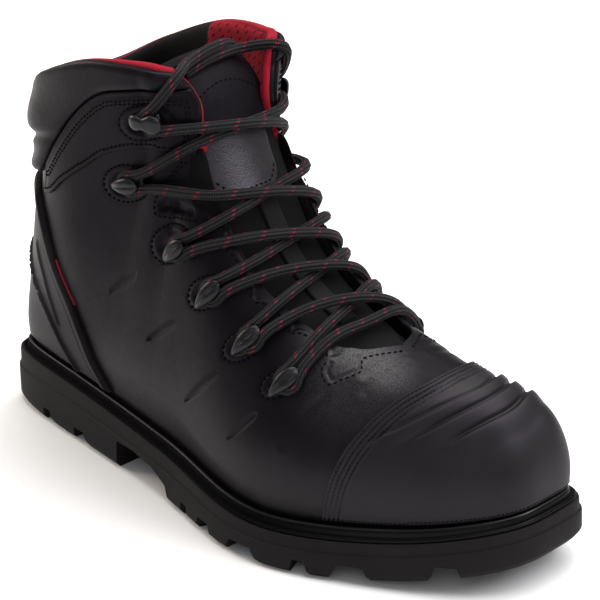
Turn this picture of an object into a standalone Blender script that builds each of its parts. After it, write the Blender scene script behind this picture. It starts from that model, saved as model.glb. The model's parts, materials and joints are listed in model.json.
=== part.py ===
"""Composite toe work boot for the right foot, as an assembly of separate solids.

Sizes are named in millimetres and turned into metres when a mesh is made.  While a piece is worked
out, x runs from the back of the heel to the toe, -y is the lateral (outer) side and z is up.  The
finished boot stands on z = 0 with its origin at the middle of its footprint.
"""
import math
from collections import namedtuple

import bmesh
import bpy
import numpy as np
from mathutils import Matrix, Vector

MM = 0.001
LATERAL, MEDIAL = -1, 1
SIDES = {LATERAL: "lateral", MEDIAL: "medial"}


def table(columns, *rows):
    """Short table: a list of rows whose values go by the columns' names."""
    row_type = namedtuple("Row", columns)
    return [row_type(*row) for row in rows]


# Driving sizes
LENGTH = 312.0          # outsole, heel to toe
HEEL_TOP = 27.5         # outsole top above the floor at the heel
BALL_TOP = 17.0         # outsole top above the floor at the ball
TOE_SPRING = 14.0       # rise of the outsole's tip
SWING = 15.0            # inward bend of the forefoot
HEEL_ROUNDING, TOE_ROUNDING = 0.44, 0.60
HEEL_MARGIN, TOE_MARGIN = 8.0, 10.0   # sole edge to upper
WALL = 2.2              # thickness of the upper
GAP = 0.3               # between pieces that touch
THROAT_SLACK = 0.5      # more room under the overlays beside the throat, where the facets part
SEAT = 0.5              # upper's edge above the outsole

# Half widths of the sole before its ends are rounded off
SOLE = table(
    "share lateral medial",
    (0.00, 37.0, 39.0),
    (0.14, 37.0, 39.5),
    (0.42, 46.5, 35.0),
    (0.67, 63.5, 56.0),
    (0.86, 55.5, 55.0),
    (1.00, 52.0, 52.0),
)

# Top of the outsole along its length
SOLE_TOP = table(
    "share z",
    (0.00, HEEL_TOP + 1.0),
    (0.15, HEEL_TOP),
    (0.30, HEEL_TOP - 2.5),
    (0.48, BALL_TOP + 4.5),
    (0.70, BALL_TOP),
    (0.85, BALL_TOP + 3.5),
    (1.00, BALL_TOP + TOE_SPRING),
)

# Collar line from the back to the front of the shaft, then the ridge over the instep to the toe
RIDGE_START = 0.43
TOP = table(
    "station x lateral medial z",
    (0.00, 39.0, 0.0, 0.0, 171.0),
    (0.10, 44.0, 22.0, 22.0, 173.0),
    (0.20, 63.0, 38.0, 37.0, 184.0),
    (0.30, 101.0, 42.0, 41.0, 197.0),
    (0.36, 126.0, 39.0, 38.0, 198.0),
    (0.40, 139.0, 31.0, 31.0, 196.0),
    (0.43, 149.0, 0.0, 0.0, 189.0),
    (0.48, 160.0, 0.0, 0.0, 153.0),
    (0.53, 179.0, 0.0, 0.0, 120.0),
    (0.60, 208.0, 0.0, 0.0, 99.0),
    (0.68, 237.0, 0.0, 0.0, 87.5),
    (0.76, 255.0, 0.0, 0.0, 82.5),
    (0.88, 270.0, 0.0, 0.0, 78.5),
    (1.00, 276.0, 0.0, 0.0, 76.8),
)

# Sideways run of the ridge
RIDGE = table("x y", (0, 0.0), (140, 0.0), (200, 1.0), (255, 6.0), (312, 10.0))

# Squareness of the ribs over the foot (2 is an ellipse)
SQUARE = table("station exponent", (0.40, 3.0), (0.50, 2.9), (0.60, 2.55), (0.70, 2.5), (0.85, 2.75),
               (1.00, 2.8))

# Swells of the foot under the leather: where each is strongest, how far it spreads, how far it stands out
SWELLS = table(
    "side station station_spread z z_spread swell",
    (LATERAL, 0.27, 0.10, 100.0, 34.0, 5.0),
    (MEDIAL, 0.27, 0.10, 100.0, 34.0, 5.0),
    (LATERAL, 0.43, 0.10, 92.0, 44.0, 1.5),
    (MEDIAL, 0.43, 0.10, 92.0, 44.0, 7.5),
    (MEDIAL, 0.45, 0.09, 142.0, 38.0, 7.0),
)

# Opening over the instep, from the collar's front corner to its rounded end above the toes
THROAT = table(
    "station half",
    (0.400, 31.0),
    (0.410, 25.0),
    (0.420, 22.5),
    (0.430, 25.0),
    (0.450, 25.5),
    (0.500, 26.0),
    (0.550, 24.5),
    (0.600, 22.0),
    (0.640, 18.5),
    (0.662, 11.0),
    (0.675, 0.0),
)
THROAT_START, THROAT_END = THROAT[0].station, THROAT[-1].station

# Seams of the overlays, seen from the side
CAP_SEAM = table("x z", (233.0, 24.0), (236.0, 38.0), (239.0, 50.0), (243.0, 61.0), (247.5, 69.0),
                 (253.0, 76.0), (259.0, 81.0), (265.0, 100.0))
COUNTER_SEAM = table("x z", (41.0, 127.5), (49.0, 118.0), (54.0, 104.0), (57.0, 88.0), (62.0, 70.0),
                     (72.0, 50.0))
CUFF_SEAM = table("x z", (44.0, 130.5), (50.0, 133.0), (69.0, 153.0), (87.0, 171.0), (102.0, 182.0),
                  (119.0, 187.0), (132.0, 189.0), (160.0, 186.0))
PANEL_SEAM = table("x z", (50.0, 124.5), (58.0, 125.0), (72.0, 135.0), (89.0, 146.0), (98.0, 152.0),
                   (108.0, 156.5), (118.0, 159.5), (128.0, 161.0), (137.0, 161.0), (160.0, 158.0))
CAP_THICKNESS, COUNTER_THICKNESS, PANEL_THICKNESS, CUFF_THICKNESS = 1.6, 1.9, 1.2, 2.6
CUFF_ROLLS = table("z spread swell", (158.0, 13.0, 4.5), (138.0, 7.0, 2.2))
SEAM_GAP = 0.7          # between the cuff and the panel below it
OVERLAY_LIFT = 6.6      # lower edge of an overlay above the outsole's top
PANEL_INNER, CUFF_INNER = 33.0, 26.0   # overlays stop this far from the middle, beside the throat

# Waves moulded across the toe cap: x of the crest on the ridge, swell
WAVES = table("x swell", (267.0, 1.3), (275.0, 1.5), (283.0, 1.5))
WAVE_WIDTH, WAVE_HALF_SPAN, WAVE_LEAN, WAVE_TAPER = 4.2, 27.0, 12.0, 0.6
WAVE_LOW, WAVE_HIGH = 40.0, 110.0

# Side of the outsole: share of its height, inset from the widest line
SOLE_SIDE = table("level inset", (0.00, 2.6), (0.16, 0.0), (0.66, 0.3), (0.70, 1.2), (0.96, 1.5), (1.00, 2.2))

# Welt across its width: share of the margin, height above the outsole
WELT = table("share height", (0.27, GAP), (0.27, 1.3), (0.50, 1.7), (0.54, 3.6), (0.66, 5.2), (0.85, 4.6),
             (0.85, GAP))

INSOLE_EDGE, INSOLE_TOP, INSOLE_BEVEL = 3.2, 4.2, 1.5
INSOLE_CLEARANCE = 1.0  # insole to the inside of the upper

# Gap between the heel and the forefoot tread, seen from the side
ARCH = table("x z", (97.0, -1.0), (98.5, 14.5), (112.0, 15.0), (128.0, 13.0), (139.0, 8.5), (142.5, -1.0))
GROOVE_DEPTH, CHEVRON_DEPTH = 5.5, 4.0
GROOVE_OVERRUN = 4.0    # how far a groove's cutter stands out past the edge
# Grooves that part the lugs at the edge
LUGS = table(
    "x width length turn",
    (36.0, 5.5, 24.0, 6.0),
    (64.0, 8.0, 24.0, -4.0),
    (157.0, 4.5, 26.0, 7.0),
    (175.0, 8.0, 34.0, 9.0),
    (201.0, 12.0, 38.0, 6.0),
    (229.0, 5.5, 30.0, 0.0),
    (249.0, 11.0, 32.0, -7.0),
    (284.0, 9.0, 26.0, -21.0),
)
# Pairs of leaning grooves down the middle
CHEVRONS = table("x width length", (48.0, 7.0, 23.0), (166.0, 6.0, 24.0), (192.0, 6.0, 26.0),
                 (220.0, 6.0, 26.0), (245.0, 6.0, 24.0))
CHEVRON_LEAN = 32.0

# Tongue, from under the vamp to above the collar
TONGUE = table(
    "along x z half crown",
    (0.0, 238.0, 76.5, 17.0, 3.0),
    (37.0, 203.9, 91.0, 22.0, 5.0),
    (57.5, 186.1, 101.1, 23.5, 5.5),
    (77.0, 172.0, 114.4, 23.5, 6.0),
    (101.0, 159.1, 134.7, 23.0, 6.0),
    (124.0, 149.0, 155.0, 22.0, 6.0),
    (140.0, 142.5, 170.0, 23.0, 6.0),
    (155.5, 135.0, 183.5, 25.5, 6.5),
    (174.0, 121.0, 195.0, 26.0, 6.5),
)
TONGUE_THICKNESS = 4.4
TONGUE_GAP = 0.45       # to what is sewn on it
FLAP_START, FLAP_END, FLAP_CORNER = 97.0, 134.0, 8.0
FLAP_REACH, FLAP_NARROWING, FLAP_THICKNESS = 0.72, 0.28, 1.4
WEBBING_START, WEBBING_END, WEBBING_HALF_WIDTH, WEBBING_THICKNESS = 36.0, 94.0, 4.5, 1.2

# Lace hooks from the toe to the collar: place on the upper, turn of the point, and the stations where
# the runs of lace from below and to above pass the throat's edge
HOOKS = table(
    "station rise turn edge_below edge_above",
    (0.601, 0.492, 62.0, 0.614, 0.588),
    (0.550, 0.487, 60.0, 0.562, 0.538),
    (0.504, 0.453, 55.0, 0.516, 0.494),
    (0.459, 0.395, 42.0, 0.486, 0.473),
    (0.364, 0.482, 10.0, 0.457, 0.438),
    (0.366, 0.677, 0.0, 0.421, 0.408),
)
HOOK_LENGTH, HOOK_WIDTH = 17.0, 9.5
HOOK_SET_BACK = 0.12    # the post's place along the cap, from its middle
HOOK_POINT = 0.45       # width left at the cap's point
HOOK_PLATE, HOOK_POST, HOOK_CAP = 1.2, 5.6, 2.0
HOOK_POST_RADIUS = 1.7
HOOK_LIFT = 0.5         # plate above the upper
PLATE_SCALE, CROWN_SCALE = (0.34, 0.62), (0.72, 0.62)
HOOK_SIDES = 8
PANEL_HOOK = len(HOOKS) - 1            # the hook that stands on the ankle panel

LACE_RADIUS = 2.2
LACE_POINTS = 9
LACE_SIDE_STEP = 2.7    # two runs lie this far either side of a hook's middle
LACE_PULL = 4.4         # a run ends this far from the post's middle
LACE_HEIGHT = 4.8       # middle of the lace above the upper at a hook
# Middle of the lace above the upper at the throat's edge: over the bare upper, the panel and the cuff
EDGE_HEIGHT, PANEL_STEP, CUFF_STEP = 3.8, 1.2, 1.6
PANEL_Z, CUFF_Z = (138.0, 150.0), (174.0, 184.0)
LACE_CLEARANCE = 1.2    # lace to what is sewn on the tongue
UNDER, OVER = 0.0, 1.8  # lifts of the two runs of a crossing

UPPER_ROWS = 11


def curve(rows, column):
    """Return a smooth function through one named column of a table, against its first column."""
    at = np.array([row[0] for row in rows], float)
    value = np.array([getattr(row, column) for row in rows], float)
    step = np.diff(at)
    slope = np.diff(value) / step
    bend = np.empty_like(value)
    bend[1:-1] = (slope[:-1] * step[1:] + slope[1:] * step[:-1]) / (step[:-1] + step[1:])
    bend[0], bend[-1] = slope[0], slope[-1]

    def read(position):
        spot = np.clip(np.asarray(position, float), at[0], at[-1])
        i = np.clip(np.searchsorted(at, spot) - 1, 0, len(at) - 2)
        t = (spot - at[i]) / step[i]
        start = (1 + 2 * t) * (1 - t) ** 2 * value[i] + t * (1 - t) ** 2 * step[i] * bend[i]
        end = t * t * (3 - 2 * t) * value[i + 1] + t * t * (t - 1) * step[i] * bend[i + 1]
        return start + end

    return read


def ease(value, low=0.0, high=1.0):
    """Rise smoothly from 0 at low to 1 at high."""
    t = np.clip((np.asarray(value, float) - low) / (high - low), 0, 1)
    return t * t * (3 - 2 * t)


def swelling(value, middle, spread):
    """Bell of height 1."""
    return np.exp(-((np.asarray(value, float) - middle) / spread) ** 2)


sole_half = {side: curve(SOLE, name) for side, name in SIDES.items()}
top_half = {side: curve(TOP, name) for side, name in SIDES.items()}
top_x, top_z = curve(TOP, "x"), curve(TOP, "z")
squareness = curve(SQUARE, "exponent")
throat_half = curve(THROAT, "half")
ridge_y = curve(RIDGE, "y")
sole_level = curve(SOLE_TOP, "z")
tongue = {name: curve(TONGUE, name) for name in ("x", "z", "half", "crown")}


def share_of(station):
    """Share of the sole's length at a station, which runs 0 to 1 from the heel's back to the toe's tip."""
    return (1 - np.cos(math.pi * np.asarray(station, float))) / 2


def sole_top(x):
    """Height of the outsole's top."""
    return sole_level(x / LENGTH)


def sole_bottom(x):
    """Height of the tread: flat from the heel to the ball, then rising to the toe."""
    return TOE_SPRING * np.clip((x / LENGTH - 0.70) / 0.30, 0, 1) ** 2


def sole_edge(station, side):
    """Plan point of the sole's widest line."""
    share = share_of(station)
    rounding = HEEL_ROUNDING + (TOE_ROUNDING - HEEL_ROUNDING) * ease(share, 0.4, 0.6)
    width = sole_half[side](share) * np.sin(math.pi * np.asarray(station, float)).clip(0) ** rounding
    swing = SWING * np.clip((share - 0.55) / 0.45, 0, 1) ** 2
    return np.stack([LENGTH * share, swing + side * width], -1)


def inward(station, side):
    """Unit plan direction from the sole's edge towards its middle."""
    station = np.asarray(station, float)
    step = 1e-4
    low, high = np.clip(station - step, 2e-4, 1 - 3e-4), np.clip(station + step, 3e-4, 1 - 2e-4)
    run = sole_edge(high, side) - sole_edge(low, side)
    across = np.stack([-run[..., 1], run[..., 0]], -1) * -side
    across /= np.linalg.norm(across, axis=-1, keepdims=True)
    across = np.where((station < 2e-3)[..., None], (1.0, 0.0), across)
    return np.where((station > 1 - 2e-3)[..., None], (-1.0, 0.0), across)


def margin(station):
    """Distance from the sole's edge to the upper."""
    return HEEL_MARGIN + (TOE_MARGIN - HEEL_MARGIN) * ease(station, 0.3, 0.8)


def inset_edge(station, side, inset):
    """Plan line that runs inside the sole's edge."""
    return sole_edge(station, side) + inward(station, side) * np.asarray(inset)[..., None]


def feather(station, side):
    """Line where the upper stands on the sole."""
    plan = inset_edge(station, side, margin(station))
    return np.concatenate([plan, sole_top(plan[..., :1]) + SEAT], -1)


def top_line(station, side):
    """Collar line, and past the shaft's front the ridge over the foot."""
    x = top_x(station)
    half = np.where(station >= RIDGE_START, 0, top_half[side](station).clip(0))
    return np.stack([x, ridge_y(x) + side * half, top_z(station)], -1)


def ridge_fall(station):
    """Fall of the ridge per length."""
    step = 0.004
    low, high = np.clip(station - step, RIDGE_START, 1), np.clip(station + step, RIDGE_START, 1)
    return (top_z(low) - top_z(high)) / np.maximum(top_x(high) - top_x(low), 1e-6)


def last(station, rise, side):
    """Outer surface of the upper: rise runs 0 to 1 from the sole to the collar or the ridge."""
    station, rise = np.broadcast_arrays(np.asarray(station, float), np.asarray(rise, float))
    foot = feather(station, side)
    span = top_line(station, side) - foot
    turn = rise * math.pi / 2
    power = squareness(station)
    cos, sin = np.cos(turn).clip(0), np.sin(turn)
    reach = (cos ** power + sin ** power) ** (-1 / power)
    over, lift = 1 - reach * cos, reach * sin
    vamp = ease(station, 0.24, 0.46)
    back, toe = 1 - ease(station, 0.20, 0.36), ease(station, 0.48, 0.64)
    along = ease(rise) * back + ease(rise, 0, 0.72) * (1 - back - toe) + over * toe
    across = ease(rise) * (1 - vamp) + over * vamp
    slope = np.clip(ridge_fall(station), 0, 0.4) * ease(station, 0.50, 0.62)
    height = rise * (1 - vamp) + lift * vamp
    z = foot[..., 2] + span[..., 2] * height + vamp * slope * span[..., 0] * (1 - over) * lift ** 3
    xy = foot[..., :2] + span[..., :2] * np.stack([along, across], -1)
    start = ease(rise, 0, 0.12)
    heel = 1 - ease(station, 0.02, 0.22)
    swell = start * (1 - ease(rise, 0.45, 0.8)) * (1 + 2 * ease(station, 0.2, 0.5)) * swelling(z, 45, 20)
    body = -3.0 * heel * swelling(z, 132, 26)
    for row in SWELLS:
        if row.side == side:
            bell = swelling(station, row.station, row.station_spread) * swelling(z, row.z, row.z_spread)
            body = body + row.swell * bell
    swell = swell + start * (1 - ease(rise, 0.85, 1)) * body
    xy = xy - inward(station, side) * swell[..., None]
    return np.concatenate([xy, z[..., None]], -1)


def outward(station, rise, side):
    """Unit normal of the upper's outer surface."""
    station, rise = np.broadcast_arrays(np.asarray(station, float), np.asarray(rise, float))
    step = 2e-3
    along = last(np.clip(station + step, 0, 1), rise, side) - last(np.clip(station - step, 0, 1), rise, side)
    up = last(station, np.clip(rise + step, 0, 1), side) - last(station, np.clip(rise - step, 0, 1), side)
    normal = np.cross(along, up) * -side
    ridge = (rise > 1 - 1e-6) & (station >= RIDGE_START)
    slope = ridge_fall(station)
    normal = np.where(ridge[..., None], np.stack([slope, 0 * slope, 1 + 0 * slope], -1), normal)
    ends = (station < 1e-6) | (station > 1 - 1e-6)
    normal[..., 1] = np.where(ends, 0, normal[..., 1])
    return normal / np.linalg.norm(normal, axis=-1, keepdims=True)


def throat_rise(station, side):
    """Rise of the upper's free edge: the collar, then the side of the throat, then the closed ridge."""
    low, high = np.full(len(station), 0.2), np.ones(len(station))
    half = throat_half(station)
    for _ in range(30):
        middle = (low + high) / 2
        point = last(station, middle, side)
        outside = np.abs(point[:, 1] - ridge_y(point[:, 0])) > half
        low, high = np.where(outside, middle, low), np.where(outside, high, middle)
    closed = (station <= THROAT_START) | (station >= THROAT_END)
    return np.where(closed, 1.0, high)


FAR = 90.0              # past either side of the boot
# Stations that the pieces share, so that their facets run side by side
STATIONS = np.concatenate([np.linspace(0, THROAT_START, 12), np.linspace(RIDGE_START, THROAT_END, 8),
                           np.linspace(THROAT_END, 1, 10)[1:]])
PLAN = np.concatenate([sole_edge(STATIONS, side) for side in SIDES])
ORIGIN = np.array([LENGTH / 2, (PLAN[:, 1].min() + PLAN[:, 1].max()) / 2, 0.0])


def place(point):
    """World position in metres of a point in millimetres."""
    return Vector((np.asarray(point, float) - ORIGIN) * MM)


def finish_material(name, colour, roughness):
    """Plain Principled finish."""
    material = bpy.data.materials.new(name)
    material.use_nodes = True
    shader = material.node_tree.nodes["Principled BSDF"]
    shader.inputs["Base Color"].default_value = (*colour, 1)
    shader.inputs["Roughness"].default_value = roughness
    return material


def start_scene():
    """Empty the scene and make its two collections."""
    for item in list(bpy.data.objects):
        bpy.data.objects.remove(item, do_unlink=True)
    collections = {}
    for name in ("work_boot", "cutters"):
        collections[name] = bpy.data.collections.new(name)
        bpy.context.scene.collection.children.link(collections[name])
    return collections


class Maker:
    """Turns meshes into named objects of the boot, or into hidden cutters."""

    def __init__(self):
        self.collections = start_scene()
        self.root = bpy.data.objects.new("boot_origin", None)
        self.collections["work_boot"].objects.link(self.root)
        self.finishes = {
            "leather": finish_material("black_leather", (0.018, 0.017, 0.018), 0.42),
            "rubber": finish_material("charcoal_rubber", (0.024, 0.021, 0.020), 0.62),
            "cap": finish_material("toe_cap_polymer", (0.020, 0.018, 0.019), 0.50),
            "textile": finish_material("black_textile", (0.010, 0.010, 0.011), 0.85),
            "hardware": finish_material("dark_grey_hardware", (0.050, 0.051, 0.054), 0.35),
            "lace": finish_material("woven_lace", (0.012, 0.011, 0.012), 0.80),
        }

    def mesh_object(self, name, bm, finish=None):
        """Link a bmesh as a piece with a finish, or without one as a cutter."""
        mesh = bpy.data.meshes.new(name)
        bm.to_mesh(mesh)
        bm.free()
        item = bpy.data.objects.new(name, mesh)
        if finish is None:
            self.collections["cutters"].objects.link(item)
            item.hide_render = True
            item.display_type = "WIRE"
            return item
        mesh.materials.append(self.finishes[finish])
        mesh.shade_smooth()
        mesh.set_sharp_from_angle(angle=math.radians(38))
        self.collections["work_boot"].objects.link(item)
        item.parent = self.root
        return item

    def cut(self, item, other, operation):
        """Boolean of an object with another."""
        modifier = item.modifiers.new(f"{operation.lower()}_{other.name}", "BOOLEAN")
        modifier.operation = operation
        modifier.object = other


def skin(bm, grid, flip=False):
    """Quads over a grid of points in millimetres; cells that have shrunk to nothing are left out."""
    verts = [[bm.verts.new(place(point)) for point in row] for row in grid]
    for i in range(len(verts) - 1):
        for j in range(len(verts[i]) - 1):
            corners = [verts[i][j], verts[i + 1][j], verts[i + 1][j + 1], verts[i][j + 1]]
            bm.faces.new(corners[::-1] if flip else corners)


def close_up(bm, tolerance=0.004):
    """Merge the seams of neighbouring skins and point the faces out."""
    bmesh.ops.remove_doubles(bm, verts=bm.verts, dist=tolerance * MM)
    bmesh.ops.dissolve_degenerate(bm, edges=bm.edges, dist=tolerance * MM)
    bmesh.ops.recalc_face_normals(bm, faces=bm.faces)


def loft(rings, closed_ends=True):
    """Solid or ring through closed sections of equal point count."""
    bm = bmesh.new()
    loops = [[bm.verts.new(place(point)) for point in ring] for ring in rings]
    count = len(loops[0])
    pairs = list(zip(loops, loops[1:] if closed_ends else loops[1:] + loops[:1]))
    for one, two in pairs:
        for i in range(count):
            j = (i + 1) % count
            bm.faces.new((one[i], one[j], two[j], two[i]))
    if closed_ends:
        bm.faces.new(loops[0])
        bm.faces.new(loops[-1])
    close_up(bm)
    return bm


def prism(outline, across):
    """Closed block of an outline in x and z, drawn out along y from across[0] to across[1]."""
    return loft([[(x, y, z) for x, z in outline] for y in across])


def block(centre, size, turn=0.0):
    """Box turned about the vertical, from a cube."""
    bm = bmesh.new()
    bmesh.ops.create_cube(bm, size=1.0)
    scale = Matrix.Diagonal((*(np.array(size) * MM), 1))
    spin = Matrix.Rotation(math.radians(turn), 4, "Z")
    bmesh.ops.transform(bm, matrix=Matrix.Translation(place(centre)) @ spin @ scale, verts=bm.verts)
    return bm


def slab(stations, rings):
    """Solid through stacked outlines of the sole: each ring gives its inset and its height at a given x."""
    bm = bmesh.new()
    edges = []
    for inset, height in rings:
        ring = {}
        for side in SIDES:
            plan = inset_edge(stations, side, inset)
            ring[side] = np.concatenate([plan, height(plan[:, :1])], -1)
        edges.append(ring)
    for side in SIDES:
        skin(bm, np.stack([ring[side] for ring in edges], 1), flip=side == MEDIAL)
    for ring in (edges[0], edges[-1]):
        skin(bm, np.stack([ring[LATERAL], ring[MEDIAL]], 1))
    close_up(bm)
    return bm


def sole_layer(level):
    """Height function of the outsole's side at a share of its thickness."""
    return lambda x: sole_bottom(x) + (sole_top(x) - sole_bottom(x)) * level


def above_sole(lift):
    """Height function at a distance above the outsole."""
    return lambda x: sole_top(x) + lift


def tread_cutters():
    """Blocks that cut the arch, the lugs and the chevrons out of the outsole, by name."""
    cutters = {"arch_gap": prism(ARCH, (-FAR, FAR))}
    lug_x = np.array([lug.x for lug in LUGS])
    stations = np.arccos(1 - 2 * lug_x / LENGTH) / math.pi
    below = 3.0
    for side, side_name in SIDES.items():
        edges, ways = sole_edge(stations, side), inward(stations, side)
        for number, lug in enumerate(LUGS):
            centre = edges[number] + ways[number] * (lug.length / 2 - GROOVE_OVERRUN)
            heading = math.degrees(math.atan2(ways[number][1], ways[number][0])) + lug.turn * side
            depth = GROOVE_DEPTH + float(sole_bottom(lug.x))
            size = (lug.length + 2 * GROOVE_OVERRUN, lug.width, depth + 2 * below)
            cutters[f"groove_{side_name}_{number}"] = block((*centre, depth / 2 - below), size, heading)
    for number, chevron in enumerate(CHEVRONS):
        depth = CHEVRON_DEPTH + float(sole_bottom(chevron.x))
        size = (chevron.length, chevron.width, depth + 2 * below)
        for side, side_name in SIDES.items():
            y = float(ridge_y(chevron.x)) + side * (chevron.length / 2 - GROOVE_OVERRUN)
            cutters[f"chevron_{side_name}_{number}"] = block((chevron.x, y, depth / 2 - below), size,
                                                             90 + side * CHEVRON_LEAN)
    return cutters


def make_outsole(maker):
    """Outsole with its stepped side, heel, arch and lugs."""
    rings = [(np.full(len(STATIONS), row.inset), sole_layer(row.level)) for row in SOLE_SIDE]
    outsole = maker.mesh_object("outsole", slab(STATIONS, rings), "rubber")
    tread = bpy.data.collections.new("tread_cutters")
    maker.collections["cutters"].children.link(tread)
    for name, bm in tread_cutters().items():
        cutter = maker.mesh_object(name, bm)
        maker.collections["cutters"].objects.unlink(cutter)
        tread.objects.link(cutter)
    modifier = outsole.modifiers.new("tread", "BOOLEAN")
    modifier.operand_type = "COLLECTION"
    modifier.collection = tread


def make_welt(maker):
    """Stitched ledge and rounded bead that run round the foot of the upper."""
    sections = []
    for side in SIDES:
        stations = STATIONS if side == LATERAL else STATIONS[::-1][1:-1]
        lines = []
        for row in WELT:
            plan = inset_edge(stations, side, margin(stations) * row.share)
            lines.append(np.concatenate([plan, sole_top(plan[:, :1]) + row.height], -1))
        sections.extend(np.stack(lines, 1))
    maker.mesh_object("welt", loft(sections, closed_ends=False), "rubber")


def make_insole(maker):
    """Footbed that fills the foot of the upper."""
    inset = margin(STATIONS) + WALL + INSOLE_CLEARANCE
    rings = [(inset, above_sole(GAP)), (inset, above_sole(GAP + INSOLE_EDGE)),
             (inset + INSOLE_BEVEL, above_sole(GAP + INSOLE_TOP))]
    maker.mesh_object("insole", slab(STATIONS, rings), "textile")


def make_upper(maker):
    """Hollow upper: one wall, open at the collar, along the throat and underneath."""
    rows = np.linspace(0, 1, UPPER_ROWS)
    bm = bmesh.new()
    for side in SIDES:
        edge = throat_rise(STATIONS, side)
        grid = last(STATIONS[:, None], np.minimum(rows[None, :], edge[:, None]), side)
        skin(bm, grid, flip=side == MEDIAL)
    bmesh.ops.remove_doubles(bm, verts=bm.verts, dist=0.02 * MM)
    bmesh.ops.dissolve_degenerate(bm, edges=bm.edges, dist=0.02 * MM)
    upper = maker.mesh_object("upper", bm, "leather")
    wall = upper.modifiers.new("wall", "SOLIDIFY")
    wall.thickness = WALL * MM
    wall.offset = -1
    wall.use_even_offset = True


def closed_form(growth, rows, floor_drop=0.0, collar_rise=0.0):
    """The last as a closed body, grown outwards by a function of its points."""
    bm = bmesh.new()
    shaft = STATIONS <= RIDGE_START
    bodies = {}
    for side in SIDES:
        points = last(STATIONS[:, None], rows[None, :], side)
        bodies[side] = points + outward(STATIONS[:, None], rows[None, :], side) * growth(points)[..., None]
    shared = np.zeros((len(STATIONS), len(rows)), bool)
    shared[[0, -1]] = True
    shared[STATIONS >= RIDGE_START, -1] = True
    seam = (bodies[LATERAL] + bodies[MEDIAL]) / 2
    feet, collars = {}, {}
    for side in SIDES:
        points = np.where(shared[..., None], seam, bodies[side])
        foot, collar = points[:, :1].copy(), points[:, -1:].copy()
        foot[..., 2] -= floor_drop
        collar[STATIONS < RIDGE_START, :, 2] += collar_rise
        skin(bm, np.concatenate([foot, points, collar], 1), flip=side == MEDIAL)
        feet[side], collars[side] = foot[:, 0], collar[shaft, 0]
    for rim in (feet, collars):
        skin(bm, np.stack([rim[LATERAL], rim[MEDIAL]], 1))
    close_up(bm, tolerance=0.02)
    return bm


def room(thickness=0.0):
    """Growth function: the gap to the upper, wider beside the throat, and a piece's own thickness."""
    beside_throat = (ease(STATIONS, 0.33, 0.40) * (1 - ease(STATIONS, 0.48, 0.52)))[:, None]
    return lambda points: GAP + THROAT_SLACK * beside_throat + np.full(points.shape[:-1], thickness)


def cuff_growth(points):
    """Growth function of the padded collar: two rolls at the back that thin out towards the front."""
    back = (1 - ease(STATIONS, 0.12, 0.30))[:, None]
    rolls = sum(roll.swell * swelling(points[..., 2], roll.z, roll.spread) for roll in CUFF_ROLLS)
    return room(CUFF_THICKNESS)(points) + back * rolls


def base_line(start, stop, count=7):
    """Points along the lower edge of an overlay, just above the welt."""
    return [(x, float(sole_top(x)) + OVERLAY_LIFT) for x in np.linspace(start, stop, count)]


def overlay_outlines():
    """Outline in x and z of each overlay, by name, with its finish and its reach across the boot."""
    before, behind, above = LENGTH + 20.0, -20.0, 230.0
    cap_base = base_line(before, CAP_SEAM[0].x)[:-1]
    counter_base = base_line(COUNTER_SEAM[-1].x + 16, behind)
    panel = PANEL_SEAM + [(row.x, row.z - SEAM_GAP) for row in CUFF_SEAM[:0:-1]]
    cuff = [(behind, CUFF_SEAM[0].z), *CUFF_SEAM, (CUFF_SEAM[-1].x, above), (behind, above)]
    return {
        "toe_cap": ("cap", [*CAP_SEAM, (before, CAP_SEAM[-1].z), *cap_base], (-FAR, FAR)),
        "heel_counter": ("leather", [*COUNTER_SEAM, *counter_base, (behind, COUNTER_SEAM[0].z)], (-FAR, FAR)),
        "collar_cuff": ("leather", cuff, (-FAR, FAR)),
        "ankle_panel_lateral": ("leather", panel, (-FAR, -PANEL_INNER)),
        "ankle_panel_medial": ("leather", panel, (PANEL_INNER, FAR)),
    }


def make_overlays(maker):
    """Toe cap, heel counter, collar cuff and ankle panels, each cut between two larger forms of the last."""
    rows = np.linspace(0, 1, UPPER_ROWS)
    cuff_rows = np.concatenate([rows[rows < 0.55], np.linspace(0.6, 1, 11)])
    under = maker.mesh_object("form_under_overlays", closed_form(room(), rows, floor_drop=12, collar_rise=30))
    forms = {
        "toe_cap": closed_form(room(CAP_THICKNESS), rows),
        "heel_counter": closed_form(room(COUNTER_THICKNESS), rows),
        "collar_cuff": closed_form(cuff_growth, cuff_rows),
        "ankle_panel": closed_form(room(PANEL_THICKNESS), rows, collar_rise=1),
    }
    forms = {name: maker.mesh_object(f"form_{name}", bm) for name, bm in forms.items()}
    add_waves(maker, forms["toe_cap"], rows)
    throat_gap = maker.mesh_object("throat_gap", block((165, 0, 185), (60, 2 * CUFF_INNER, 120)))
    for name, (finish, outline, across) in overlay_outlines().items():
        piece = maker.mesh_object(name, prism(outline, across), finish)
        form = next(forms[key] for key in forms if name.startswith(key))
        maker.cut(piece, form, "INTERSECT")
        maker.cut(piece, under, "DIFFERENCE")
        if name == "collar_cuff":
            maker.cut(piece, throat_gap, "DIFFERENCE")


def add_waves(maker, cap_form, rows):
    """Raised waves across the top of the form that the toe cap is cut from."""
    for number, row in enumerate(WAVES):
        wave = maker.mesh_object(f"wave_{number}", wave_block(row.x, float(ridge_y(row.x))))
        swollen = closed_form(room(CAP_THICKNESS + row.swell), rows)
        maker.cut(wave, maker.mesh_object(f"form_wave_{number}", swollen), "INTERSECT")
        maker.cut(cap_form, wave, "UNION")


def wave_block(x, middle):
    """Upright bent slab that picks one wave out of the grown last: it leans back towards both sides."""
    rings = []
    for across in np.linspace(-1, 1, 5):
        back = x - WAVE_LEAN * across ** 2
        front = back + WAVE_WIDTH * (1 - WAVE_TAPER * across ** 2)
        y = middle + across * WAVE_HALF_SPAN
        rings.append([(back, y, WAVE_LOW), (front, y, WAVE_LOW), (front, y, WAVE_HIGH), (back, y, WAVE_HIGH)])
    return loft(rings)


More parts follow.
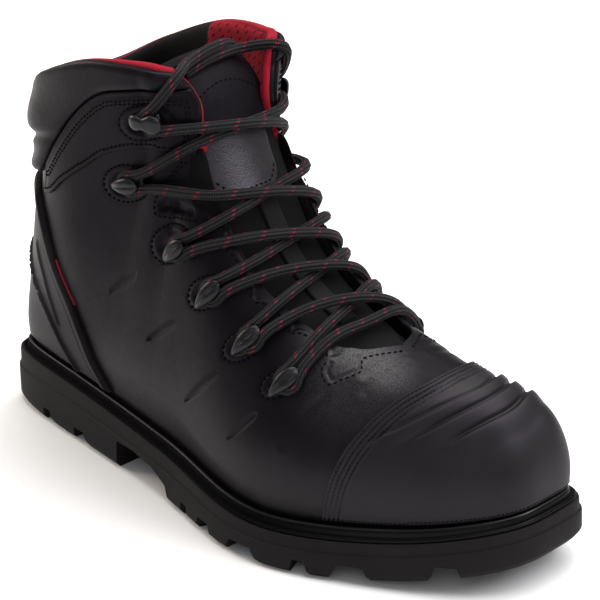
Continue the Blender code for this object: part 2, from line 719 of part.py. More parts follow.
def tongue_frame(along):
    """Middle of the tongue at a place along it, and the way out of it."""
    step = 1.0
    run_x, run_z = (tongue[axis](along + step) - tongue[axis](along - step) for axis in ("x", "z"))
    normal = np.array([run_z, 0.0, -run_x]) / math.hypot(run_x, run_z)
    x = float(tongue["x"](along))
    return np.array([x, float(ridge_y(x)), float(tongue["z"](along))]), normal


def tongue_point(along, across, lift):
    """Point on the tongue: across runs -1 to 1 over its width, lift is the height off its middle surface."""
    middle, normal = tongue_frame(along)
    middle[1] += across * tongue["half"](along)
    return middle + normal * (lift - tongue["crown"](along) * across ** 2)


def tongue_strip(places, reach, low, high, count):
    """Closed strip along the tongue: reach gives its half width as a share of the tongue's at each place."""
    columns = np.linspace(-1, 1, count)
    sections = []
    for along in places:
        width = reach(along)
        top = [tongue_point(along, column * width, high) for column in columns]
        under = [tongue_point(along, column * width, low) for column in columns[::-1]]
        sections.append(top + under)
    return loft(sections)


def flap_reach(along):
    """Half width of the flap as a share of the tongue's, narrower at its rounded foot."""
    return FLAP_REACH * (1 - FLAP_NARROWING * (1 - float(ease(along, FLAP_START, FLAP_START + FLAP_CORNER))))


def webbing_reach(along):
    """Half width of the webbing as a share of the tongue's."""
    return WEBBING_HALF_WIDTH / float(tongue["half"](along))


def make_tongue(maker):
    """Padded tongue with the leather flap and the webbing keeper that are sewn on it."""
    half = TONGUE_THICKNESS / 2
    places = np.linspace(TONGUE[0].along, TONGUE[-1].along, 15)
    maker.mesh_object("tongue", tongue_strip(places, lambda along: 1.0, -half, half, 9), "textile")
    seat = half + TONGUE_GAP
    corner = np.linspace(FLAP_START, FLAP_START + FLAP_CORNER, 4)[:-1]
    places = np.concatenate([corner, np.linspace(FLAP_START + FLAP_CORNER, FLAP_END, 4)])
    flap = tongue_strip(places, flap_reach, seat, seat + FLAP_THICKNESS, 7)
    maker.mesh_object("tongue_flap", flap, "leather")
    places = np.linspace(WEBBING_START, WEBBING_END, 8)
    webbing = tongue_strip(places, webbing_reach, seat, seat + WEBBING_THICKNESS, 3)
    maker.mesh_object("tongue_webbing", webbing, "textile")


def teardrop(count):
    """Outline of a hook's cap about its post: round at the front, pointed at the back."""
    points = []
    for turn in np.arange(count) * 2 * math.pi / count:
        width = HOOK_POINT + (1 - HOOK_POINT) * (0.5 + 0.5 * math.cos(turn))
        points.append((HOOK_LENGTH * (0.5 * math.cos(turn) - HOOK_SET_BACK),
                       HOOK_WIDTH * 0.5 * math.sin(turn) * width))
    return np.array(points)


def hook_frame(number, side):
    """Foot of a hook and the directions along its cap, across it and out of the upper."""
    hook = HOOKS[number]
    out = outward(hook.station, hook.rise, side)
    lift = HOOK_LIFT
    if number == PANEL_HOOK:
        lift += GAP + THROAT_SLACK + PANEL_THICKNESS
    forward = np.array([1.0, 0.0, 0.0])
    forward = forward - out * (forward @ out)
    forward /= np.linalg.norm(forward)
    rising = np.cross(out, forward) * -side
    angle = math.radians(hook.turn)
    along = forward * math.cos(angle) + rising * math.sin(angle)
    return last(hook.station, hook.rise, side) + out * lift, along, np.cross(out, along), out


def make_hooks(maker):
    """Lace hooks: a plate, a post and a pointed cap that the lace runs under."""
    outline = teardrop(HOOK_SIDES)
    turns = np.arange(HOOK_SIDES) * 2 * math.pi / HOOK_SIDES
    post = HOOK_POST_RADIUS * np.stack([np.cos(turns), np.sin(turns)], -1)
    plate, crown = outline * PLATE_SCALE, outline * CROWN_SCALE
    neck = HOOK_PLATE + HOOK_POST
    levels = [(0.0, plate), (HOOK_PLATE, plate), (HOOK_PLATE, post), (neck, post), (neck, outline),
              (neck + HOOK_CAP, crown)]
    for side, side_name in SIDES.items():
        for number in range(len(HOOKS)):
            foot, along, across, out = hook_frame(number, side)
            rings = []
            for height, ring in levels:
                rings.append([foot + along * x + across * y + out * height for x, y in ring])
            maker.mesh_object(f"hook_{side_name}_{number + 1}", loft(rings), "hardware")


FIELD_STATIONS, FIELD_RISES = np.linspace(0.34, 0.66, 161), np.linspace(0.25, 0.95, 141)
LACE_FIELD = {side: last(FIELD_STATIONS[:, None], FIELD_RISES[None, :], side) for side in SIDES}


def smooth_path(points):
    """Evenly spaced points along a smooth curve through a route's own points."""
    points = np.array(points, float)
    reach = np.concatenate([[0], np.cumsum(np.linalg.norm(np.diff(points, axis=0), axis=1))])
    rows = table("reach x y z", *np.column_stack([reach, points]))
    axes = [curve(rows, axis) for axis in "xyz"]
    return [[float(axis(spot)) for axis in axes] for spot in np.linspace(0, reach[-1], LACE_POINTS)]


def lace_tube(maker, name, route):
    """Round cord along a route, as a closed mesh."""
    points = smooth_path(route)
    data = bpy.data.curves.new(name, "CURVE")
    data.dimensions = "3D"
    data.bevel_depth = LACE_RADIUS * MM
    data.bevel_resolution = 1
    data.use_fill_caps = True
    spline = data.splines.new("POLY")
    spline.points.add(len(points) - 1)
    for target, point in zip(spline.points, points):
        target.co = (*place(point), 1)
    item = bpy.data.objects.new(name, data)
    maker.collections["cutters"].objects.link(item)
    bpy.context.view_layer.update()
    mesh = bpy.data.meshes.new_from_object(item.evaluated_get(bpy.context.evaluated_depsgraph_get()))
    bpy.data.objects.remove(item)
    bpy.data.curves.remove(data)
    bm = bmesh.new()
    bm.from_mesh(mesh)
    bpy.data.meshes.remove(mesh)
    close_up(bm)
    return bm


def edge_height(z):
    """Middle of the lace above the upper where it passes the throat's edge."""
    return EDGE_HEIGHT + PANEL_STEP * ease(z, *PANEL_Z) + CUFF_STEP * ease(z, *CUFF_Z)


def nearest_on_upper(point, side):
    """Station and rise of the place on the upper beside the throat that is nearest to a point."""
    distance = np.linalg.norm(LACE_FIELD[side] - point, axis=-1)
    i, j = np.unravel_index(np.argmin(distance), distance.shape)
    return FIELD_STATIONS[i], FIELD_RISES[j]


def lace_half(number, side, to_above):
    """Run of lace from beside a hook straight to the throat's edge, over the upper."""
    hook = HOOKS[number]
    edge_station = hook.edge_above if to_above else hook.edge_below
    start = last(hook.station, hook.rise, side)
    edge = last(edge_station, float(throat_rise(np.array([edge_station]), side)[0]), side)
    out = outward(hook.station, hook.rise, side)
    pull = edge - start
    pull = pull - out * (pull @ out)
    pull = pull / np.linalg.norm(pull)
    aside = np.cross(out, pull) * -side * (LACE_SIDE_STEP if to_above else -LACE_SIDE_STEP)
    panel = GAP + THROAT_SLACK + PANEL_THICKNESS if number == PANEL_HOOK else 0.0
    start = start + pull * LACE_PULL + aside
    points = []
    for share in (0.0, 0.35, 0.7, 1.0):
        place_on = nearest_on_upper(start + (edge - start) * share, side)
        foot = last(*place_on, side)
        lift = (LACE_HEIGHT + panel) * (1 - share) + edge_height(foot[2]) * share
        points.append(foot + outward(*place_on, side) * lift)
    return points


def lace_crown(middle, lift):
    """Top of a run of lace: the middle between its edges, or clear of the tongue where that stands higher."""
    seat = TONGUE_THICKNESS / 2 + TONGUE_GAP + FLAP_THICKNESS + LACE_CLEARANCE + LACE_RADIUS + lift
    frames = [tongue_frame(along) for along in np.linspace(TONGUE[0].along, TONGUE[-1].along, 88)]
    foot, normal = min(frames, key=lambda frame: np.linalg.norm(middle - frame[0]))
    return middle + normal * max(lift, seat - (middle - foot) @ normal)


def lace_route(lower, upper, from_side, lift):
    """Run of lace from a hook on one side, over the tongue, to a hook on the other."""
    level = lower == upper
    one = lace_half(lower, from_side, to_above=not level or lower == PANEL_HOOK)
    two = lace_half(upper, -from_side, to_above=level and upper == PANEL_HOOK)
    return one + [lace_crown((one[-1] + two[-1]) / 2, lift)] + two[::-1]


def make_laces(maker):
    """Lace as joined solids: a crossing between each pair of hooks and a bar at either end."""
    for number, hook in enumerate((0, PANEL_HOOK)):
        name = f"lace_bar_{number + 1}"
        bar = lace_tube(maker, name, lace_route(hook, hook, LATERAL, UNDER))
        maker.mesh_object(name, bar, "lace")
    for number in range(len(HOOKS) - 1):
        name = f"lace_crossing_{number + 1}"
        one = lace_tube(maker, name, lace_route(number, number + 1, LATERAL, UNDER))
        two = lace_tube(maker, f"{name}_over", lace_route(number, number + 1, MEDIAL, OVER))
        crossing = maker.mesh_object(name, one, "lace")
        maker.cut(crossing, maker.mesh_object(f"{name}_over", two), "UNION")


def main():
    """Build the boot from the floor up."""
    maker = Maker()
    make_outsole(maker)
    make_welt(maker)
    make_insole(maker)
    make_upper(maker)
    make_overlays(maker)
    make_tongue(maker)
    make_hooks(maker)
    make_laces(maker)


main()
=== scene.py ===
"""Looks of the composite toe work boot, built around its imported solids.

Lengths are millimetres in the boot's working frame until a mesh is made: x runs from the back of the
heel to the toe, -y is the lateral (outer) side and z is up.  A place on the upper is a pair of a station
(0 at the heel's back, 1 at the toe's tip) and a rise (0 at the sole, 1 at the collar or the ridge).
"""
from __future__ import annotations

import json
import logging
import math
from dataclasses import dataclass
from enum import Enum
from typing import Callable, Sequence

import bmesh
import bpy
import numpy as np
from mathutils import Matrix, Vector

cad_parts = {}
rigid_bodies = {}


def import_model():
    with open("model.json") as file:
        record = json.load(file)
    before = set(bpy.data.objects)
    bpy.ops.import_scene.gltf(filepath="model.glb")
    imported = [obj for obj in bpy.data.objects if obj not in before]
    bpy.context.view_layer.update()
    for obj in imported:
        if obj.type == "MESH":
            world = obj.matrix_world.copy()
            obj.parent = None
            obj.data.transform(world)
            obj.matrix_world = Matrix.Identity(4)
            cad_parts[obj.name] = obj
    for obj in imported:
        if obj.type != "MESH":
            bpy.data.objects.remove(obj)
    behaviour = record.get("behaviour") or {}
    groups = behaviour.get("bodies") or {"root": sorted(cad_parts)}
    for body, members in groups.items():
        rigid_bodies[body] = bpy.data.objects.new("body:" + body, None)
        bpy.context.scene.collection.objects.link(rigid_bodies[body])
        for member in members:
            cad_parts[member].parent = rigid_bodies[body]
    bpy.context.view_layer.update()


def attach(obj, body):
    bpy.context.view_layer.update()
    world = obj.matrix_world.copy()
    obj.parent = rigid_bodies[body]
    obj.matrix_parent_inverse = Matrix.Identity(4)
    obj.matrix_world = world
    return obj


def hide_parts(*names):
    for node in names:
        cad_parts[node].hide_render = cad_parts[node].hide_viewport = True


log = logging.getLogger("work_boot")
Array = np.ndarray
Rows = tuple[tuple[float, ...], ...]
MM = 0.001
BODY = "root"
ORIGIN = np.array([156.0, -2.464, 0.0])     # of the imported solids, in the working frame


class Side(Enum):
    """Half of the boot, by the sign of y."""

    LATERAL = -1
    MEDIAL = 1


def ease(value: Array | float, low: float = 0.0, high: float = 1.0) -> Array:
    """Rise smoothly from 0 at low to 1 at high."""
    t = np.clip((np.asarray(value, float) - low) / (high - low), 0, 1)
    return t * t * (3 - 2 * t)


def bell(value: Array | float, middle: float, spread: float) -> Array:
    """Bell of height 1 around a middle."""
    return np.exp(-((np.asarray(value, float) - middle) / spread) ** 2)


def rounded(distance: Array, radius: float) -> Array:
    """Quarter-round edge: 0 at the edge, 1 from the radius inwards."""
    t = np.clip(distance / radius, 0, 1)
    return np.sqrt(np.clip(1 - (1 - t) ** 2, 0, 1))


def spread(*runs: tuple[float, float, int]) -> Array:
    """Rising places along several runs, each with its own count."""
    places = np.concatenate([np.linspace(*run) for run in runs])
    return np.unique(places.round(9))


class Profile:
    """Smooth function through the points of a short table."""

    def __init__(self, *points: tuple[float, float]) -> None:
        """Keep the points and the slopes at them.

        Args:
            points: Pairs of place and value, with rising places.
        """
        self.at, self.value = np.array(points, float).T
        self.step = np.diff(self.at)
        slope = np.diff(self.value) / self.step
        self.bend = np.empty_like(self.value)
        weighted = slope[:-1] * self.step[1:] + slope[1:] * self.step[:-1]
        self.bend[1:-1] = weighted / (self.step[:-1] + self.step[1:])
        self.bend[0], self.bend[-1] = slope[0], slope[-1]

    def __call__(self, position: Array | float) -> Array:
        """Value at a place, held past both ends.

        Args:
            position: Places.

        Returns:
            The values, in the places' layout.
        """
        spot = np.clip(np.asarray(position, float), self.at[0], self.at[-1])
        i = np.clip(np.searchsorted(self.at, spot) - 1, 0, len(self.at) - 2)
        t = (spot - self.at[i]) / self.step[i]
        start = (1 + 2 * t) * (1 - t) ** 2 * self.value[i] + t * (1 - t) ** 2 * self.step[i] * self.bend[i]
        end = t * t * (3 - 2 * t) * self.value[i + 1] + t * t * (t - 1) * self.step[i] * self.bend[i + 1]
        return start + end


def through(points: Sequence[Sequence[float]], count: int) -> Array:
    """Evenly spaced points on a smooth line through a few given ones.

    Args:
        points: The line's own points, of any dimension.
        count: How many points to return.

    Returns:
        The points, one a row.
    """
    route = np.array(points, float)
    reach = np.concatenate([[0], np.cumsum(np.linalg.norm(np.diff(route, axis=0), axis=1))])
    axes = [Profile(*zip(reach, column)) for column in route.T]
    return np.stack([axis(np.linspace(0.0, reach[-1], count)) for axis in axes], -1)


def unit(vectors: Array) -> Array:
    """Vectors scaled to length 1."""
    return vectors / np.maximum(np.linalg.norm(vectors, axis=-1, keepdims=True), 1e-9)


def distance_to(line: Array, points: Array, reach: float) -> Array:
    """Distance of points from a line of short segments.

    Args:
        line: Points along the line.
        points: Points to measure, in any layout.
        reach: Distance past which the exact value doesn't matter.

    Returns:
        The distances, at most twice the reach, in the points' layout.
    """
    flat = points.reshape(-1, 3)
    result = np.full(len(flat), 2.0 * reach)
    near = np.all((flat > line.min(0) - reach) & (flat < line.max(0) + reach), 1)
    spots = flat[near]
    best = np.full(len(spots), 4.0 * reach * reach)
    for start, end in zip(line[:-1], line[1:]):
        run = end - start
        share = np.clip((spots - start) @ run / max(run @ run, 1e-12), 0, 1)
        gap = spots - start - share[:, None] * run
        best = np.minimum(best, np.einsum("ij,ij->i", gap, gap))
    result[near] = np.sqrt(best)
    return result.reshape(points.shape[:-1])


def inside(outline: Sequence[tuple[float, float]], station: Array, rise: Array) -> Array:
    """Whether places lie inside an outline of places.

    Args:
        outline: Corners of the outline.
        station: Stations.
        rise: Rises.

    Returns:
        True for each place inside.
    """
    result = np.zeros(station.shape, bool)
    for (s0, r0), (s1, r1) in zip(outline, (*outline[1:], outline[0])):
        crosses = (r0 > rise) != (r1 > rise)
        result ^= crosses & (station < s0 + (s1 - s0) * (rise - r0) / (r1 - r0 if r1 != r0 else 1.0))
    return result


@dataclass(frozen=True)
class Swell:
    """Place where the foot stands out under the leather."""

    side: Side
    station: float
    station_spread: float
    z: float
    z_spread: float
    height: float


@dataclass(frozen=True)
class Last:
    """Form of the boot: the sole's outline and the surface that the upper is pulled over."""

    length: float = 312.0
    toe_spring: float = 14.0
    swing: float = 15.0
    heel_rounding: float = 0.44
    toe_rounding: float = 0.60
    heel_margin: float = 8.0
    toe_margin: float = 10.0
    seat: float = 0.5
    ridge_start: float = 0.43
    throat_start: float = 0.40
    throat_fall: float = 38.0
    throat_end: float = 0.675
    sole_lateral: Profile = Profile((0, 37), (.14, 37), (.42, 46.5), (.67, 63.5), (.86, 55.5), (1, 52))
    sole_medial: Profile = Profile((0, 39), (.14, 39.5), (.42, 35), (.67, 56), (.86, 55), (1, 52))
    sole_level: Profile = Profile((0, 28.5), (.15, 27.5), (.30, 25), (.48, 21.5), (.70, 17), (.85, 20.5),
                                  (1, 31))
    top_x: Profile = Profile((0, 39), (.10, 44), (.20, 63), (.30, 101), (.36, 126), (.40, 139), (.43, 149),
                             (.48, 160), (.53, 179), (.60, 208), (.68, 237), (.76, 255), (.88, 270), (1, 276))
    top_z: Profile = Profile((0, 171), (.10, 173), (.20, 184), (.30, 197), (.36, 198), (.40, 196), (.43, 189),
                             (.48, 153), (.53, 120), (.60, 99), (.68, 87.5), (.76, 82.5), (.88, 78.5),
                             (1, 76.8))
    top_lateral: Profile = Profile((0, 0), (.10, 22), (.20, 38), (.30, 42), (.36, 39), (.40, 31), (.43, 0),
                                   (.48, 0), (1, 0))
    top_medial: Profile = Profile((0, 0), (.10, 22), (.20, 37), (.30, 41), (.36, 38), (.40, 31), (.43, 0),
                                  (.48, 0), (1, 0))
    ridge_y: Profile = Profile((0, 0), (140, 0), (200, 1), (255, 6), (312, 10))
    squareness: Profile = Profile((.40, 3), (.50, 2.9), (.60, 2.55), (.70, 2.5), (.85, 2.75), (1, 2.8))
    throat_half: Profile = Profile((.400, 31), (.410, 25), (.420, 22.5), (.430, 25), (.450, 25.5), (.500, 26),
                                   (.550, 24.5), (.600, 22), (.640, 18.5), (.662, 11), (.675, 0))
    # Heel bones, instep and front of the ankle
    swells: tuple[Swell, ...] = (
        Swell(Side.LATERAL, .27, .10, 100, 34, 5.0),
        Swell(Side.MEDIAL, .27, .10, 100, 34, 5.0),
        Swell(Side.LATERAL, .43, .10, 92, 44, 1.5),
        Swell(Side.MEDIAL, .43, .10, 92, 44, 7.5),
        Swell(Side.MEDIAL, .45, .09, 142, 38, 7.0),
    )

    def share_of(self, station: Array) -> Array:
        """Share of the sole's length at a station."""
        return (1 - np.cos(math.pi * np.asarray(station, float))) / 2

    def sole_top(self, x: Array) -> Array:
        """Height of the outsole's top."""
        return self.sole_level(x / self.length)

    def sole_bottom(self, x: Array) -> Array:
        """Height of the tread: flat from the heel to the ball, then rising to the toe."""
        return self.toe_spring * np.clip((x / self.length - 0.70) / 0.30, 0, 1) ** 2

    def sole_edge(self, station: Array, side: Side) -> Array:
        """Plan point of the sole's widest line.

        Args:
            station: Stations.
            side: Half of the boot.

        Returns:
            Points in plan.
        """
        share = self.share_of(station)
        rounding = self.heel_rounding + (self.toe_rounding - self.heel_rounding) * ease(share, 0.4, 0.6)
        half = self.sole_lateral if side is Side.LATERAL else self.sole_medial
        width = half(share) * np.sin(math.pi * np.asarray(station, float)).clip(0) ** rounding
        swing = self.swing * np.clip((share - 0.55) / 0.45, 0, 1) ** 2
        return np.stack([self.length * share, swing + side.value * width], -1)

    def inward(self, station: Array, side: Side) -> Array:
        """Unit plan direction from the sole's edge towards its middle.

        Args:
            station: Stations.
            side: Half of the boot.

        Returns:
            Unit vectors in plan.
        """
        station = np.asarray(station, float)
        step = 1e-4
        low, high = np.clip(station - step, 2e-4, 1 - 3e-4), np.clip(station + step, 3e-4, 1 - 2e-4)
        run = self.sole_edge(high, side) - self.sole_edge(low, side)
        across = unit(np.stack([-run[..., 1], run[..., 0]], -1) * -side.value)
        across = np.where((station < 2e-3)[..., None], (1.0, 0.0), across)
        return np.where((station > 1 - 2e-3)[..., None], (-1.0, 0.0), across)

    def margin(self, station: Array) -> Array:
        """Distance from the sole's edge to the upper."""
        return self.heel_margin + (self.toe_margin - self.heel_margin) * ease(station, 0.3, 0.8)

    def inset_edge(self, station: Array, side: Side, inset: Array) -> Array:
        """Plan line that runs inside the sole's edge."""
        return self.sole_edge(station, side) + self.inward(station, side) * np.asarray(inset)[..., None]

    def top_line(self, station: Array, side: Side) -> Array:
        """Collar line, and past the shaft's front the ridge over the foot.

        Args:
            station: Stations.
            side: Half of the boot.

        Returns:
            Points of the line.
        """
        x = self.top_x(station)
        half = self.top_lateral if side is Side.LATERAL else self.top_medial
        reach = np.where(station >= self.ridge_start, 0, half(station).clip(0))
        return np.stack([x, self.ridge_y(x) + side.value * reach, self.top_z(station)], -1)

    def ridge_fall(self, station: Array) -> Array:
        """Fall of the ridge per length.

        Args:
            station: Stations.

        Returns:
            The falls.
        """
        low = np.clip(station - 0.004, self.ridge_start, 1)
        high = np.clip(station + 0.004, self.ridge_start, 1)
        return (self.top_z(low) - self.top_z(high)) / np.maximum(self.top_x(high) - self.top_x(low), 1e-6)

    def point(self, station: Array, rise: Array, side: Side) -> Array:
        """Point of the upper's outer surface at a place.

        Args:
            station: Stations, in any layout.
            rise: Rises, in a layout that fits the stations.
            side: Half of the boot.

        Returns:
            The points, with x, y and z along the last axis.
        """
        station, rise = np.broadcast_arrays(np.asarray(station, float), np.asarray(rise, float))
        plan = self.inset_edge(station, side, self.margin(station))
        foot = np.concatenate([plan, self.sole_top(plan[..., :1]) + self.seat], -1)
        span = self.top_line(station, side) - foot
        turn = rise * math.pi / 2
        power = self.squareness(station)
        cos, sin = np.cos(turn).clip(0), np.sin(turn)
        reach = (cos ** power + sin ** power) ** (-1 / power)
        over, lift = 1 - reach * cos, reach * sin
        vamp = ease(station, 0.24, 0.46)
        back, toe = 1 - ease(station, 0.20, 0.36), ease(station, 0.48, 0.64)
        along = ease(rise) * back + ease(rise, 0, 0.72) * (1 - back - toe) + over * toe
        across = ease(rise) * (1 - vamp) + over * vamp
        slope = np.clip(self.ridge_fall(station), 0, 0.4) * ease(station, 0.50, 0.62)
        height = rise * (1 - vamp) + lift * vamp
        z = foot[..., 2] + span[..., 2] * height + vamp * slope * span[..., 0] * (1 - over) * lift ** 3
        xy = foot[..., :2] + span[..., :2] * np.stack([along, across], -1)
        start = ease(rise, 0, 0.12)
        heel = 1 - ease(station, 0.02, 0.22)
        swell = start * (1 - ease(rise, 0.45, 0.8)) * (1 + 2 * ease(station, 0.2, 0.5)) * bell(z, 45, 20)
        body = -3.0 * heel * bell(z, 132, 26)
        for row in self.swells:
            if row.side is side:
                at_station = bell(station, row.station, row.station_spread)
                body = body + row.height * at_station * bell(z, row.z, row.z_spread)
        swell = swell + start * (1 - ease(rise, 0.85, 1)) * body
        xy = xy - self.inward(station, side) * swell[..., None]
        return np.concatenate([xy, z[..., None]], -1)

    def normal(self, station: Array, rise: Array, side: Side) -> Array:
        """Unit normal of the upper's outer surface at a place.

        Args:
            station: Stations.
            rise: Rises.
            side: Half of the boot.

        Returns:
            Unit vectors, in the places' layout.
        """
        station, rise = np.broadcast_arrays(np.asarray(station, float), np.asarray(rise, float))
        step = 2e-3
        along = (self.point(np.clip(station + step, 0, 1), rise, side)
                 - self.point(np.clip(station - step, 0, 1), rise, side))
        up = (self.point(station, np.clip(rise + step, 0, 1), side)
              - self.point(station, np.clip(rise - step, 0, 1), side))
        normal = np.cross(along, up) * -side.value
        ridge = (rise > 1 - 1e-6) & (station >= self.ridge_start)
        slope = self.ridge_fall(station)
        normal = np.where(ridge[..., None], np.stack([slope, 0 * slope, 1 + 0 * slope], -1), normal)
        ends = (station < 1e-6) | (station > 1 - 1e-6)
        normal[..., 1] = np.where(ends, 0, normal[..., 1])
        return unit(normal)

    def free_edge(self, station: Array, side: Side) -> Array:
        """Rise of the upper's free edge: the collar, then the side of the throat, then the closed ridge.

        Args:
            station: Stations.
            side: Half of the boot.

        Returns:
            Rises of the edge.
        """
        station = np.asarray(station, float)
        half = self.throat_half(station)

        def within(rise: Array) -> Array:
            """Whether rises lie inside the throat's width."""
            point = self.point(station, rise, side)
            return np.abs(point[..., 1] - self.ridge_y(point[..., 0])) <= half

        closed = (station <= self.throat_start) | (station >= self.throat_end)
        edge = self.settle(within, np.full(station.shape, 0.2), np.ones(station.shape))
        return np.where(closed, 1.0, np.maximum(edge, 1 - self.throat_fall * (station - self.throat_start)))

    @staticmethod
    def settle(past: Callable[[Array], Array], low: Array, high: Array) -> Array:
        """Halve an interval until it closes on the first place for which a test holds.

        Args:
            past: Test of places.
            low: Places before it holds.
            high: Places where it holds.

        Returns:
            The first places where it holds.
        """
        for _ in range(32):
            middle = (low + high) / 2
            found = past(middle)
            low, high = np.where(found, low, middle), np.where(found, middle, high)
        return high

    def rise_at(self, station: Array, line: Callable[[Array], Array], side: Side) -> Array:
        """Rise at which each station's rib crosses a line that gives z for an x.

        Args:
            station: Stations.
            line: Height for an x.
            side: Half of the boot.

        Returns:
            The rises.
        """
        station = np.asarray(station, float)

        def above(rise: Array) -> Array:
            """Whether rises lie above the line."""
            point = self.point(station, rise, side)
            return point[..., 2] >= line(point[..., 0])

        return self.settle(above, np.zeros(station.shape), np.ones(station.shape))

    def station_at(self, rise_of: Callable[[Array], Array], seam: Profile, count: int, side: Side) -> Array:
        """Station at which each of several rows crosses a seam that gives x for a z.

        Args:
            rise_of: Rise of each row at its station.
            seam: The seam's x for a z.
            count: How many rows there are.
            side: Half of the boot.

        Returns:
            A station for each row.
        """
        def past(station: Array) -> Array:
            """Whether stations lie past the seam."""
            point = self.point(station, rise_of(station), side)
            return point[..., 0] >= seam(point[..., 2])

        return self.settle(past, np.full(count, 0.5), np.full(count, 0.95))

    def on_upper(self, places: Array, side: Side, lift: float | Array = 0.0) -> Array:
        """Points at a height above places that are given as rows of station and rise.

        Args:
            places: Rows of station and rise.
            side: Half of the boot.
            lift: Heights off the surface.

        Returns:
            The points.
        """
        station, rise = places[..., 0], places[..., 1]
        height = np.broadcast_to(np.asarray(lift, float), station.shape)
        return self.point(station, rise, side) + self.normal(station, rise, side) * height[..., None]


class Shape:
    """Skin of a piece while it is put together: points and surface coordinates in millimetres."""

    def __init__(self) -> None:
        """Start with nothing."""
        self.points: list[Array] = []
        self.coords: list[Array] = []
        self.faces: list[tuple[int, ...]] = []
        self.slots: list[int] = []
        self.count = 0

    def add(self, points: Array, coords: Array | None = None) -> Array:
        """Add points and return their numbers in the same layout.

        Args:
            points: Points in any layout.
            coords: Surface coordinates, or none.

        Returns:
            The points' numbers.
        """
        layout = points.shape[:-1]
        numbers = self.count + np.arange(math.prod(layout)).reshape(layout)
        self.points.append(points.reshape(-1, 3))
        self.coords.append(np.zeros((numbers.size, 2)) if coords is None else coords.reshape(-1, 2))
        self.count += numbers.size
        return numbers

    def skin(self, numbers: Array, slot: int | Array = 0) -> None:
        """Quads over a grid of point numbers, with one slot or a slot for each quad.

        Args:
            numbers: Grid of point numbers.
            slot: Material slot, or one for each quad.
        """
        corners = [numbers[:-1, :-1], numbers[1:, :-1], numbers[1:, 1:], numbers[:-1, 1:]]
        quads = np.stack(corners, -1).reshape(-1, 4)
        self.faces += [tuple(quad) for quad in quads.tolist()]
        self.slots += np.broadcast_to(slot, corners[0].shape).ravel().tolist()

    def grid(self, points: Array, slot: int | Array = 0, coords: Array | None = None) -> Array:
        """Quads over a grid of points; without coordinates they are the lengths along the grid's lines.

        Args:
            points: Grid of points.
            slot: Material slot, or one for each quad.
            coords: Surface coordinates, or none.

        Returns:
            The points' numbers.
        """
        numbers = self.add(points, lengths(points) if coords is None else coords)
        self.skin(numbers, slot)
        return numbers

    def strip(self, one: Array, one_at: Array, two: Array, two_at: Array, slot: int = 0) -> None:
        """Triangles between two rows of points with unlike spacing, matched by their places.

        Args:
            one: Numbers of the first row.
            one_at: Places along it.
            two: Numbers of the second row.
            two_at: Places along it.
            slot: Material slot.
        """
        i = j = 0
        while i < len(one) - 1 or j < len(two) - 1:
            last_i, last_j = i == len(one) - 1, j == len(two) - 1
            if last_j or (not last_i and one_at[i + 1] <= two_at[j + 1]):
                self.faces.append((int(one[i]), int(one[i + 1]), int(two[j])))
                i += 1
            else:
                self.faces.append((int(one[i]), int(two[j + 1]), int(two[j])))
                j += 1
            self.slots.append(slot)

    def shell(self, outer: Array, inner: Array, slot: int = 0, open_top: bool = False) -> None:
        """Closed skin of an outer and an inner grid, joined along their edges.

        Args:
            outer: Grid of outer points.
            inner: Grid of inner points in the same layout.
            slot: Material slot of all its faces.
            open_top: Leaves out the last row's edge, where two halves merge.
        """
        coords = lengths(outer)
        top, under = self.add(outer, coords), self.add(inner, coords)
        self.skin(top, slot)
        self.skin(under, slot)
        edges = [(0, slice(None)), (-1, slice(None)), (slice(None), 0)]
        for edge in edges if open_top else edges + [(slice(None), -1)]:
            self.skin(np.stack([top[edge], under[edge]], 1), slot)

    def build(self, name: str, finishes: Sequence[bpy.types.Material], merge: float = 0.02,
              sharp: float | None = None) -> bpy.types.Object:
        """Make the piece's object.

        Args:
            name: Name of the object.
            finishes: Materials in the order of the slots.
            merge: Points closer than this become one.
            sharp: Angle in degrees past which an edge is sharp, or none.

        Returns:
            The object, at the origin.
        """
        mesh = bpy.data.meshes.new(name)
        mesh.from_pydata(((np.concatenate(self.points) - ORIGIN) * MM).tolist(), [], self.faces)
        layer = mesh.uv_layers.new(name="surface")
        corners = np.empty(len(mesh.loops), np.int32)
        mesh.loops.foreach_get("vertex_index", corners)
        layer.data.foreach_set("uv", np.concatenate(self.coords)[corners].astype(np.float32).ravel())
        mesh.polygons.foreach_set("material_index", self.slots)
        bm = bmesh.new()
        bm.from_mesh(mesh)
        bmesh.ops.remove_doubles(bm, verts=bm.verts, dist=merge * MM)
        bmesh.ops.dissolve_degenerate(bm, edges=bm.edges, dist=merge * MM / 4)
        bmesh.ops.recalc_face_normals(bm, faces=bm.faces)
        bm.to_mesh(mesh)
        bm.free()
        return finish_piece(name, mesh, finishes, sharp)


def finish_piece(name: str, mesh: bpy.types.Mesh, finishes: Sequence[bpy.types.Material],
                 sharp: float | None = None) -> bpy.types.Object:
    """Link a mesh as a smooth-shaded object with its finishes.

    Args:
        name: Name of the object.
        mesh: Its mesh.
        finishes: Materials in the order of the slots.
        sharp: Angle in degrees past which an edge is sharp, or none.

    Returns:
        The object, at the origin.
    """
    if mesh.materials:
        mesh.materials.clear()
    for finish in finishes:
        mesh.materials.append(finish)
    mesh.shade_smooth()
    if sharp is not None:
        mesh.set_sharp_from_angle(angle=math.radians(sharp))
    piece = bpy.data.objects.new(name, mesh)
    bpy.context.scene.collection.objects.link(piece)
    return piece


